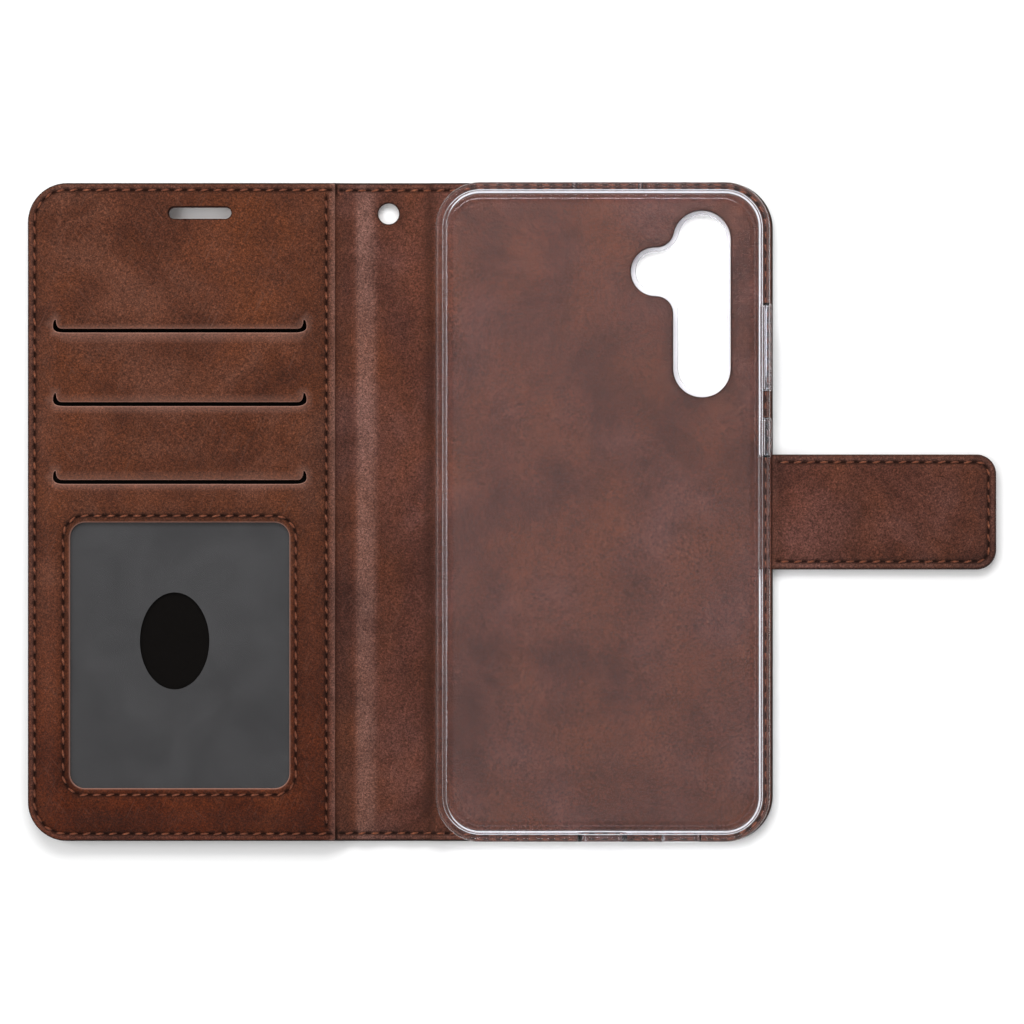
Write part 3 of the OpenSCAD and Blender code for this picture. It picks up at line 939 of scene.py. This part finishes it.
def edge_guides(path, distances):
    """Lines inside an open edge that runs anticlockwise when seen from above."""
    return [(offset(path, d, closed=False), False) for d in distances]


def hole_guides(loops, distances=(0.15, 0.35)):
    """Lines round the anticlockwise outlines of holes."""
    return [(offset(loop, -d), True) for loop in loops for d in distances]


FRONT_EDGE = cover_path(LEFT, FRONT_CORNER_R)
BACK_EDGE = cover_path(RIGHT, BACK_CORNER_R)
FRONT_SEAM = Seam(cover_path(LEFT + SEAM_INSET, FRONT_CORNER_R, SEAM_INSET))
BACK_SEAM = Seam(cover_path(RIGHT - SEAM_INSET, BACK_CORNER_R, SEAM_INSET))
SPEAKER_LOOP = speaker_loop()
FRONT_HOLES = [SPEAKER_LOOP, ellipse_loop(LANYARD, (LANYARD_R, LANYARD_R))]
BACK_HOLES = [camera_loop(0)]
FRONT = (front_loop, FRONT_SEAM, FRONT_HOLES, (LEFT, SPLIT), "cover")
BACK = (back_loop, BACK_SEAM, BACK_HOLES, (SPLIT, RIGHT), "spine")


def cover_sheet(name, half, inset, heights, edge_lines, mat, replaced):
    """One leather of the front or the back half, which meet in the middle of the spine."""
    loop, seam, holes, reach, fold = half
    guides = seam_guides(seam) + edge_lines + hole_guides(holes)
    if half is FRONT and inset == 0:
        guides += hole_guides([SPEAKER_LOOP], (TURN_W, TURN_W + 0.05))
    piece = sheet_mesh(name, loop(inset), heights, holes, guides, fold_strips(*reach))
    bend(piece)
    return finish_piece(piece, mat, replaced)


front_skin_heights = skin_heights(FRONT_EDGE, FRONT_SEAM, FRONT_HOLES, [SPEAKER_LOOP])
back_skin_heights = skin_heights(BACK_EDGE, BACK_SEAM, BACK_HOLES)
RIM_RINGS = (*EDGE_RINGS, RIM_W, RIM_W + 0.1)
for name, half, heights, edge, replaced in (
    ("front_skin", FRONT, front_skin_heights, FRONT_EDGE, ["front_outer_leather", "spine_outer_leather"]),
    ("back_skin", BACK, back_skin_heights, BACK_EDGE[::-1], ["back_outer_leather"]),
):
    cover_sheet(name, half, 0, heights, edge_guides(edge, RIM_RINGS), LEATHER_OUT, replaced)

# ---- Linings ----

FRONT_LINING_EDGE = offset(FRONT_EDGE, INNER_INSET, closed=False)
BACK_LINING_EDGE = offset(BACK_EDGE, -INNER_INSET, closed=False)
GUTTER_X = PANEL_RIGHT + 2.1
RIDGE_X = PANEL_RIGHT + 6.8
SIDE_RIDGE_X = FOLD_2 - 4.6
VALLEY_X = FOLD_1 + 8.0


def sway(y):
    """How far the spine's ridges wander from a straight line."""
    return 0.5 * waves(0 * y, y, 30, 5)


def spine_rise(x, y):
    """The spine lining's soft ridges and valleys along the folds."""
    rise = 0.36 * bump(x, RIDGE_X + sway(y), 2.0) + 0.2 * bump(x, SIDE_RIDGE_X - sway(y), 1.9)
    valley = 0.1 * bump(x, VALLEY_X + 0.4 * sway(y), 1.8) + 0.14 * bump(x, FOLD_1 + 0.4, 0.9)
    return rise - valley


def lining_heights(edge, seam, holes, thickness, margin=None):
    """A lining: full thickness on the boards, sunk to the outer leather at the spine."""
    def heights(x, y):
        from_edge = distance(x, y, edge)
        depth, shade = seam.shape(x, y)
        low = LEATHER_T + (RIM_TOP - LEATHER_T) * cover_level(x)
        high = low + LEATHER_T + (thickness - LEATHER_T) * cover_level(x)
        if margin is not None:
            high += margin(x, y)
        over_spine = hill(x, FOLD_1 - 1, FOLD_1 + 1, FOLD_2 - 1, FOLD_2 + 1)
        high = high + spine_rise(x, y) * over_spine - np.clip(depth, 0, thickness - 0.1)
        high -= round_over(from_edge, EDGE_ROUND)
        under_panel_edge = plateau(x, PANEL_RIGHT, 0.62)
        gutter = 0.17 * plateau(x, GUTTER_X + 0.5 * sway(y), 1.9)
        crease = 0.5 * bump(x, FOLD_2 - 0.2, 1.5)
        shade = np.maximum.reduce([shade, crease, under_panel_edge, gutter, painted(from_edge, EDGE_DARK)])
        for loop in holes:
            from_hole = loop_distance(x, y, loop)
            high -= round_over(from_hole, HOLE_ROUND)
            shade = np.maximum(shade, painted(from_hole, HOLE_DARK))
        # Painted sheen highlight along the spine's soft raised crest.
        ridge_sheen = 0.58 * plateau(x, RIDGE_X + sway(y), 2.5) * over_spine
        return low, high, {"shade": shade, "wear": np.maximum(welt(from_edge), ridge_sheen)}
    return heights


def stack_margin(x, y):
    """The lining rises at the margins where the pockets are sewn down on it."""
    in_pockets = smooth(x, LEFT + 3.3, LEFT + 3.5)
    in_pockets *= hill(y, BOTTOM + 3.3, BOTTOM + 3.5, TOP - 12.1, TOP - 11.9)
    under_panel = fall(x, PANEL_RIGHT - 0.1, PANEL_RIGHT + 0.1)
    return (FLANGE_LOW - 0.2 - RIM_TOP - LINING_T) * under_panel * (1 - in_pockets)


front_lining_heights = lining_heights(FRONT_LINING_EDGE, FRONT_SEAM, FRONT_HOLES, LINING_T, stack_margin)
BACK_LINING_T = BACK_LINING_TOP - RIM_TOP - FACE_GAP
back_lining_heights = lining_heights(BACK_LINING_EDGE, BACK_SEAM, BACK_HOLES, BACK_LINING_T)
for name, half, heights, edge, replaced in (
    ("front_inner_lining", FRONT, front_lining_heights, FRONT_LINING_EDGE, ["front_lining", "spine_lining"]),
    ("back_inner_lining", BACK, back_lining_heights, BACK_LINING_EDGE[::-1], ["back_lining"]),
):
    rings = edge_guides(edge, LINING_RINGS)
    lining = cover_sheet(name, half, INNER_INSET, heights, rings, LEATHER_IN, replaced)

# ---- Card pockets ----


def window_loop(grow, step=0.6):
    half = WINDOW_SIZE / 2 + grow
    return rounded_loop(WINDOW_MID - half, WINDOW_MID + half, (WINDOW_R + grow,) * 4, step)


def pocket_loop(inset, right, step):
    """The outline of the card panel, and of the cloth under it."""
    r = FRONT_CORNER_R - inset
    return rounded_loop((LEFT + inset, BOTTOM + inset), (right, TOP - inset), (r, 0.4, 0.4, r), step)


PANEL_INSET = 0.3
PANEL_LOOP = pocket_loop(PANEL_INSET, PANEL_RIGHT, 0.6)
SLOT_LOOPS = [slot_loop(drop) for drop in SLOT_DROPS]
WINDOW_EDGE = window_loop(0)
SIDE_X = PANEL_RIGHT - SIDE_SEAM_INSET
side_line = [(SIDE_X, BOTTOM + 2 * SEAM_INSET), (SIDE_X, TOP - 2 * SEAM_INSET)]
SIDE_SEAM = Seam(refined(side_line, 0.3, closed=False))
WINDOW_SEAM = Seam(window_loop(WINDOW_SEAM_OUT, 0.3), closed=True)


def window_drop(x, y):
    """How far the panel and the film slope down into the window."""
    away = loop_distance(x, y, WINDOW_EDGE)
    away[inside(x, y, WINDOW_EDGE)] = 0
    return WINDOW_DROP * (1 - smooth(away, 0, 1.9))


def panel_level(x, y):
    """Top of the panel before slots and seams shape it."""
    up = hill(x, LEFT + 2.4, LEFT + 7.5, PANEL_RIGHT - 8.5, PANEL_RIGHT - 2.7)
    up *= hill(y, BOTTOM + 2.4, BOTTOM + 8, TOP - 33, TOP - 12)
    level = FLANGE_TOP + (POCKET_TOP - FLANGE_TOP) * up
    return level + 0.09 * up * waves(x, y, 11, 3) - window_drop(x, y)


def slot_relief(x, y):
    """The leather above a slot is pressed in and its lip stands up a little."""
    total = np.zeros(len(x))
    across = fall(np.abs(x - POCKET_MID), SLOT_W / 2 - 2, SLOT_W / 2 + 3)
    for drop in SLOT_DROPS:
        lip = TOP - drop
        rise = SLOT_LIP_RISE * np.exp(-np.abs(lip - y) / SLOT_LIP_FADE) * (y <= lip + SLOT_H / 2)
        press = SLOT_PRESS * np.exp(-np.abs(y - lip - SLOT_H) / SLOT_PRESS_FADE) * (y > lip + SLOT_H / 2)
        total += across * (rise - press)
    return total


def panel_heights(x, y):
    from_edge = loop_distance(x, y, PANEL_LOOP)
    level = panel_level(x, y) + slot_relief(x, y)
    sewn = [seam.shape(x, y) for seam in (FRONT_SEAM, SIDE_SEAM, WINDOW_SEAM)]
    depth, shade = (np.maximum.reduce(v) for v in zip(*sewn))
    high = level - np.minimum(depth, LEATHER_T - 0.1) - round_over(from_edge, EDGE_ROUND)
    on_rim = fall(x, PANEL_RIGHT - 2, PANEL_RIGHT - 1)
    raw = 0.16 * bump(from_edge, 0, 0.2) * (1 - on_rim)
    # A lighter strip along the panel's right edge and on each slot's lower lip, next to the rubbed bead.
    wear = np.maximum(welt(from_edge), 0.6 * bump(x, PANEL_RIGHT - 0.5, 0.8))
    for loop, drop in zip(SLOT_LOOPS, SLOT_DROPS):
        away = loop_distance(x, y, loop)
        high -= round_over(away, SLOT_ROUND)
        raw = np.maximum(raw, 0.8 * bump(away, 0, 0.2))
        wear = np.maximum(wear, 0.3 * np.exp(-away / 0.9) * (y < TOP - drop + 0.3))
    from_window = loop_distance(x, y, WINDOW_EDGE)
    from_speaker = loop_distance(x, y, SPEAKER_LOOP)
    high -= round_over(from_window, EDGE_ROUND) + round_over(from_speaker, EDGE_ROUND)
    raw = np.maximum(raw, 0.9 * bump(from_window, 0, 0.15))
    rim, dent = painted(from_edge, EDGE_DARK) * on_rim, 0.3 * bump(from_window, 0.9, 0.5)
    shade = np.maximum.reduce([shade, rim, dent, painted(from_speaker, 0.8 * HOLE_DARK)])
    return level - LEATHER_T, high, {"shade": shade, "raw": raw, "wear": wear}


PANEL_HOLES = [SPEAKER_LOOP, WINDOW_EDGE, *SLOT_LOOPS]
panel_guides = seam_guides(FRONT_SEAM, SIDE_SEAM, WINDOW_SEAM) + hole_guides([PANEL_LOOP], (-0.08, -0.3))
panel_guides += hole_guides(SLOT_LOOPS, (0.1, 0.25)) + hole_guides([WINDOW_EDGE], (0.1, 0.3, 0.9, 1.9))
panel_guides += hole_guides([SPEAKER_LOOP])
panel = sheet_mesh("card_panel_leather", PANEL_LOOP, panel_heights, PANEL_HOLES, panel_guides, spacing=1.6)
finish_piece(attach(panel, "front_cover"), LEATHER_PANEL, ["card_panel"])

FILM_LOOP = window_loop(FILM_MARGIN, 0.8)


def film_heights(x, y):
    top = panel_level(x, y) - LEATHER_T - FACE_GAP
    high = top + 0.05 * waves(x, y, 9, 8) * (window_drop(x, y) >= WINDOW_DROP)
    high -= 0.03 * (1 - smooth(loop_distance(x, y, FILM_LOOP), 0, 0.5))
    return high - FILM_T, high, {}


thumb_hole = ellipse_loop(THUMB, THUMB_HALF)
clear_window = sheet_mesh("clear_window", FILM_LOOP, film_heights, [thumb_hole], spacing=1.2)
finish_piece(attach(clear_window, "front_cover"), FILM, ["window_film"])


def cloth_sheet(name, cad_node, outline, heights, holes=()):
    """A pocket's cloth on the front cover, in place of its CAD node."""
    piece = sheet_mesh(name, outline, heights, holes, spacing=1.6)
    finish_piece(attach(piece, "front_cover"), TEXTILE, [cad_node])
    return piece


def backing_heights(x, y):
    high = FLANGE_LOW - 0.02 + 0.03 * waves(x, y, 8, 21)
    return high - BACKING_T, high, {}


def divider_cloth(number, level, drop):
    """A pocket's rear sheet. Its upper edge curls up to the panel above the slot that it serves."""
    edge_y = TOP - drop + DIVIDER_REACH
    low, high = (LEFT + DIVIDER_INSET, BOTTOM + DIVIDER_INSET), (PANEL_RIGHT - DIVIDER_SIDE_INSET, edge_y)
    loop = rounded_loop(low, high, (4, 4, 0.6, 0.6), 1.0)

    def heights(x, y):
        ceiling = panel_level(x, y) + np.minimum(slot_relief(x, y), 0) - LEATHER_T
        ceiling = np.where(window_drop(x, y) > 0, ceiling - FILM_T - 0.12, ceiling)
        rise = smooth(y, edge_y - 1.6, edge_y - 0.3)
        rest = np.minimum(level + 0.12 * waves(x, y, 10, int(drop)), ceiling - 0.15)
        high = rest + (ceiling - FACE_GAP - rest) * rise
        return high - CLOTH_T, high, {}

    return cloth_sheet(f"card_divider_cloth_{number}", f"card_divider_{number}", loop, heights)


BACKING_LOOP = pocket_loop(PANEL_INSET + 0.2, PANEL_RIGHT - 0.3, 1.0)
holes = [speaker_loop(0.2)]
cloth = cloth_sheet("backing_cloth", "pocket_backing", BACKING_LOOP, backing_heights, holes)
for i, level in enumerate(DIVIDER_LEVELS):
    cloth = divider_cloth(i + 1, level, SLOT_DROPS[i + 1])

# ---- Threads of the covers ----


def threads(name, stitches, replaced):
    return finish_piece(thread_mesh(name, stitches), THREAD, replaced)


front_runs = stitch_run(FRONT_SEAM, front_skin_heights, False)
front_runs += stitch_run(FRONT_SEAM, panel_heights, True, high=PANEL_RIGHT - 2.6)
front_runs += stitch_run(FRONT_SEAM, front_lining_heights, True, low=PANEL_RIGHT + 1)
bend(threads("front_cover_thread", front_runs, ["front_thread", "spine_thread"]))
back_runs = stitch_run(BACK_SEAM, back_skin_heights, False)
back_runs += stitch_run(BACK_SEAM, back_lining_heights, True)
bend(threads("back_cover_thread", back_runs, ["back_thread"]))
for name, seam, cad_node in (
    ("panel_side_stitches", SIDE_SEAM, "panel_side_thread"),
    ("window_stitches", WINDOW_SEAM, "window_thread"),
):
    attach(threads(name, stitch_run(seam, panel_heights, True), [cad_node]), "front_cover")

# ---- Strap ----

STRAP_INNER_INSET = 0.2
STRAP_SEAM_Y = STRAP_HALF - SEAM_INSET
STRAP_EDGE = c_path(STRAP_ROOT, STRAP_END, -STRAP_HALF, STRAP_HALF, STRAP_CORNER_R)
STRAP_INNER_EDGE = offset(STRAP_EDGE, -STRAP_INNER_INSET, closed=False)
seam_end, seam_r = STRAP_END - SEAM_INSET, STRAP_CORNER_R - SEAM_INSET
STRAP_SEAM = Seam(c_path(RIGHT + 1.2, seam_end, -STRAP_SEAM_Y, STRAP_SEAM_Y, seam_r))


def strap_out(x):
    """0 where the strap is pressed flat inside the cover, 1 where it is free."""
    return smooth(x, RIGHT - 0.6, RIGHT + 1.6)


def magnet_zone(x, y, grow, soft):
    """1 over the magnet and a little more, 0 away from it."""
    low, high = MAGNET_LOW - grow, MAGNET_HIGH + grow
    zone = hill(x, low[0] - soft, low[0], high[0], high[0] + soft)
    return zone * hill(y, low[1] - soft, low[1], high[1], high[1] + soft)


def strap_shade_wear_and_sheen(x, from_edge, shade):
    # Painted shade in the strap's folds and along its edge; its bead is made lighter as on the covers.
    folds = 0.3 * bump(x, STRAP_1 + 0.6, 1.5) + 0.24 * bump(x, STRAP_2, 2.2)
    edge = 0.7 * bump(from_edge, 0, 0.25)
    return {"shade": np.maximum.reduce([shade, folds, edge]), "wear": welt(from_edge)}


def strap_outer_heights(x, y):
    from_edge = distance(x, y, STRAP_EDGE)
    depth, shade = STRAP_SEAM.shape(x, y)
    low = LEATHER_T - (LEATHER_T - STRAP_Z + LEATHER_T) * strap_out(x)
    high = np.full(len(x), STRAP_Z) - round_over(from_edge, 0.16) * strap_out(x)
    high -= (STRAP_Z - MAGNET_LOW[2]) * magnet_zone(x, y, MAGNET_ROOM, MAGNET_SIDE)
    free = strap_out(x)
    low = low + free * (round_over(from_edge, 0.5) + np.clip(depth, 0, 0.35))
    return np.minimum(low, high), high, strap_shade_wear_and_sheen(x, from_edge, shade * free)


def strap_inner_heights(x, y):
    from_edge = distance(x, y, STRAP_INNER_EDGE)
    depth, shade = STRAP_SEAM.shape(x, y)
    free = strap_out(x)
    low = STRAP_Z + (MAGNET_HIGH[2] - STRAP_Z) * magnet_zone(x, y, MAGNET_ROOM, MAGNET_SIDE)
    high = RIM_TOP + (STRAP_Z + LEATHER_T - RIM_TOP) * free
    high = high + 0.22 * magnet_zone(x, y, 0.2, 2.0)
    high -= free * (round_over(from_edge, 0.35) + np.clip(depth, 0, PULL_MOST))
    return low, high, strap_shade_wear_and_sheen(x, from_edge, shade * free)


def strap_loop(inset, x0, x1):
    r = STRAP_CORNER_R - inset if x1 >= STRAP_END else 0
    low, high = (x0, -STRAP_HALF + inset), (min(x1, STRAP_END - inset), STRAP_HALF - inset)
    return rounded_loop(low, high, (0, r, r, 0), 0.6)


def magnet_guides():
    return [
        (rounded_loop(MAGNET_LOW[:2] - grow, MAGNET_HIGH[:2] + grow, (0.1 + grow,) * 4, 0.7), True)
        for grow in (MAGNET_ROOM, 0.15, 1, 2.2)
    ]


STRAP_HALVES = (
    ("root", STRAP_ROOT, STRAP_MID, STRAP_1, "strap_root", []),
    ("end", STRAP_MID, STRAP_END, STRAP_2, "strap_tip", magnet_guides()),
)
OUTER = ("outer", 0, strap_outer_heights, STRAP_EDGE, LEATHER_OUT, "outer_leather")
INNER = ("inner", STRAP_INNER_INSET, strap_inner_heights, STRAP_INNER_EDGE, LEATHER_IN, "lining_leather")
STRAP_CAD = {
    "strap_outer_root": ["strap_root_tab", "strap_side_outer"],
    "strap_outer_end": ["strap_tip_outer"],
    "strap_inner_root": ["strap_side_inner"],
    "strap_inner_end": ["strap_tip_inner"],
}
for layer, inset, heights, edge, mat, slot in (OUTER, INNER):
    for half, x0, x1, fold_x, fold, magnet in STRAP_HALVES:
        strips = [((max(fold_x - 3, x0 + 0.3), -STRAP_HALF + 3), (fold_x + 3.4, STRAP_HALF - 3), 0.45, 1.6)]
        guides = seam_guides(STRAP_SEAM) + edge_guides(edge[::-1], (0.08, 0.2, 0.45)) + magnet
        name = f"strap_{layer}_{half}"
        piece = sheet_mesh(name, strap_loop(inset, x0, x1), heights, (), guides, strips, spacing=1.6)
        bend(finish_piece(piece, mat, STRAP_CAD[name]))

for half, x0, x1, fold, cad_node in (
    ("root", RIGHT + 1.0, STRAP_MID, "strap_root", "strap_side_thread"),
    ("end", STRAP_MID, STRAP_END, "strap_tip", "strap_tip_thread"),
):
    runs = stitch_run(STRAP_SEAM, strap_outer_heights, False, x0, x1)
    runs += stitch_run(STRAP_SEAM, strap_inner_heights, True, x0, x1)
    bend(threads(f"strap_{half}_thread", runs, [cad_node]))

# ---- Phone tray ----


def tray_ring(inset):
    """A ring of the tray's outline, with the same number of points whatever its inset."""
    centre = (TRAY_LOW[:2] + TRAY_HIGH[:2]) / 2
    half = (TRAY_HIGH[:2] - TRAY_LOW[:2]) / 2 - TRAY_R
    scale = (TRAY_R - inset) / (TRAY_R - FLOOR_INSET)
    base = np.array(TRAY_BASE)
    core = centre + np.clip(base - centre, -half, half)
    return core + (base - core) * scale


def quarter(inset, z, r, start, end, n=5):
    """A rounding of the walls' section about a place, as (inset, height)."""
    turns = np.radians(np.linspace(start, end, n))
    return [(inset + r * math.cos(a), z + r * math.sin(a)) for a in turns]


def wall_section():
    """The walls' section, from the floor's top over the lip to the floor's bottom."""
    top = TRAY_HIGH[2]
    section = quarter(TRAY_WALL + FLOOR_ROUND, CAVITY_FLOOR + FLOOR_ROUND, FLOOR_ROUND, 270, 180)
    section += [(TRAY_WALL, z) for z in WALL_ROWS]
    section += quarter(TRAY_WALL + 0.25, top - LIP_T - 0.25, 0.25, 180, 90, 3)
    section += quarter(TRAY_WALL + LIP_W - LIP_T / 2, top - LIP_T / 2, LIP_T / 2, -90, 90, 7)
    section += quarter(TOP_ROUND, top - TOP_ROUND, TOP_ROUND, 90, 180, 6)
    section += [(0, z) for z in reversed(WALL_ROWS)]
    return section + quarter(FOOT_ROUND, TRAY_BOTTOM + FOOT_ROUND, FOOT_ROUND, 180, 270)


def tray_mesh():
    """The tray as one closed skin: a floor with the camera hole, and walls lofted round it."""
    rim_w = CAMERA_RIM_T - CAMERA_RIM_CLEAR
    hole = camera_loop(-CAMERA_RIM_T, 0.45)
    guides = hole_guides([hole], (0.12, 0.3, rim_w - 0.03, rim_w))
    co, tris = triangulated(TRAY_BASE, [hole], guides, [], 3.0)
    x, y = co[:, 0], co[:, 1]
    away = loop_distance(x, y, hole)
    high = CAVITY_FLOOR - round_over(away, 0.3)
    low = np.where(away < rim_w - 0.015, CAMERA_RIM_LOW + round_over(away, 0.25), TRAY_BOTTOM)
    n = len(co)
    verts = [*zip(x, y, high), *zip(x, y, low)]
    faces = tris + [[n + c, n + b, n + a] for a, b, c in tris]
    tree = search_tree(co)
    base = [tree.find((*p, 0))[1] for p in TRAY_BASE]
    on_base = set(base)
    faces += [[j, i, n + i, n + j] for i, j in boundary_edges(tris) if i not in on_base]
    walls = [add_row(verts, [(*p, z) for p in tray_ring(inset)]) for inset, z in wall_section()]
    rows = [base, *walls, [n + i for i in base]]
    for a, b in zip(rows, rows[1:]):
        faces += band(b, a)
    return mesh_object("clear_phone_tray", verts, faces, angle=50)


def prism(loop, axis, start, end):
    """A cutter: a loop of two coordinates drawn out along the third axis."""
    verts = []
    near, far = (add_row(verts, [(a, at, b) for a, b in loop]) for at in (start, end))
    faces = [near, far[::-1], *band(far, near)]
    if axis == "X":
        verts = [(y, x, z) for x, y, z in verts]
        faces = [f[::-1] for f in faces]
    return mesh_object("cutter", verts, faces)


def slot_cut(x, size, wall):
    """A cutter for an opening with round ends in one of the tray's short walls."""
    middle = np.array(((TRAY_LOW[0] + TRAY_HIGH[0]) / 2 + x, PORT_Z))
    half = np.array(size) / 2
    return prism(rounded_loop(middle - half, middle + half, (half.min() - 0.01,) * 4, 0.3), "Y", *wall)


def button_loop(cad_node, inset, r):
    low, high = span(cad_node)
    return rounded_loop(low[1:] + inset, high[1:] - inset, (r,) * 4, 0.3)


def cut_out(obj, cutters):
    """Take the cutters' shapes out of a mesh."""
    for cutter in cutters:
        cut = obj.modifiers.new("cut", "BOOLEAN")
        cut.operation, cut.solver, cut.object = "DIFFERENCE", "EXACT", cutter
    bpy.context.view_layer.update()
    evaluated = obj.evaluated_get(bpy.context.evaluated_depsgraph_get())
    cut_mesh = bpy.data.meshes.new_from_object(evaluated)
    obj.modifiers.clear()
    obj.data = cut_mesh
    for cutter in cutters:
        bpy.data.meshes.remove(cutter.data)
    cut_mesh.shade_smooth()
    cut_mesh.set_sharp_from_angle(angle=math.radians(50))
    for face in cut_mesh.polygons:
        face.use_smooth = abs(face.normal.z) < 0.9999
    cut_mesh.materials.clear()


base_r = TRAY_R - FLOOR_INSET
TRAY_BASE = rounded_loop(TRAY_LOW[:2] + FLOOR_INSET, TRAY_HIGH[:2] - FLOOR_INSET, (base_r,) * 4, 0.8)
WALL_REACH = TRAY_WALL + 0.6
BUTTONS = (("volume_button_cover", "volume_button"), ("power_button_cover", "power_button"))
tray = tray_mesh()
near_wall = (TRAY_LOW[1] - 1, TRAY_LOW[1] + WALL_REACH)
far_wall = (TRAY_HIGH[1] - WALL_REACH, TRAY_HIGH[1] + 1)
cutters = [slot_cut(0, PORT_SIZE, near_wall), slot_cut(SOUND_X, SOUND_SIZE, near_wall)]
cutters += [slot_cut(x, MIC_SIZE, far_wall) for x in MIC_X]
for cad_node, _ in BUTTONS:
    loop = button_loop(cad_node, -BUTTON_GAP, BUTTON_R)
    cutters.append(prism(loop, "X", TRAY_HIGH[0] - WALL_REACH, TRAY_HIGH[0] + 1))
cut_out(tray, cutters)
tray.visible_shadow = False
finish_piece(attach(tray, "back_cover"), CLEAR, ["phone_tray"])


def button_mesh(cad_node):
    """A button's clear cover, narrower towards its outer face."""
    low, high = (v[0] for v in span(cad_node))
    rings = [(0.12, low), (0.0, low + 0.12), (0.0, high - 0.45), (0.14, high - 0.13), (0.42, high)]
    verts, rows = [], []
    for inset, x in rings:
        loop = button_loop(cad_node, inset, BUTTON_R - inset)
        count = len(rows[0]) if rows else len(loop)
        fixed = refined(loop, 0.3)
        step = len(fixed) / count
        picks = [min(int(k * step), len(fixed) - 1) for k in range(count)]
        rows.append(add_row(verts, [(x, *fixed[k]) for k in picks]))
    return mesh_object(cad_node + "_skin", verts, capped(rows), angle=50)


for cad_node, body in BUTTONS:
    finish_piece(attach(button_mesh(cad_node), body), CLEAR, [cad_node])

# ---- Floor, light and camera ----

LENS_MM = 150
CAMERA_UP = 0.98
FLOOR_SIZE = 6
FLOOR_Z = -0.0002
SKY_STRENGTH = 1.14

pale_floor, _ = material("pale_floor")
surface(pale_floor, (0.96, 0.96, 0.96, 1), 0.7, {"Specular IOR Level": 0.2})
bpy.ops.mesh.primitive_plane_add(size=FLOOR_SIZE, location=(0, 0, FLOOR_Z))
floor = bpy.context.object
floor.name = "floor"
floor.data.materials.append(pale_floor)


def softbox(name, location, size, power):
    light = bpy.data.lights.new(name, "AREA")
    light.shape, light.size, light.size_y = "RECTANGLE", *size
    light.energy = power
    lamp = linked(name, light)
    lamp.location = location
    lamp.visible_glossy = False
    lamp.rotation_euler = (-Vector(location)).to_track_quat("-Z", "Y").to_euler()


softbox("top_softbox", (-0.05, 0.46, 0.36), (0.6, 0.25), 3.0)
softbox("left_softbox", (-0.7, 0.1, 0.5), (0.4, 0.7), 2.6)
world = bpy.data.worlds.new("studio")
world.use_nodes = True
sky = world.node_tree
toward = node(sky, "ShaderNodeSeparateXYZ", {0: node(sky, "ShaderNodeTexCoord").outputs["Generated"]})
greys = [(0.0, 0.33), (0.4, 0.58), (0.7, 1.0), (0.93, 0.17)]
tent = ramp(sky, toward.outputs["Z"], [(up, (grey, grey, grey)) for up, grey in greys])
sky.links.new(tent, sky.nodes["Background"].inputs["Color"])
sky.nodes["Background"].inputs["Strength"].default_value = SKY_STRENGTH
bpy.context.scene.world = world
bpy.context.scene.view_settings.view_transform = "Standard"

camera_data = bpy.data.cameras.new("camera")
camera_data.lens = LENS_MM
camera = linked("camera", camera_data)
camera.location = (0, 0, CAMERA_UP)
bpy.context.scene.camera = camera
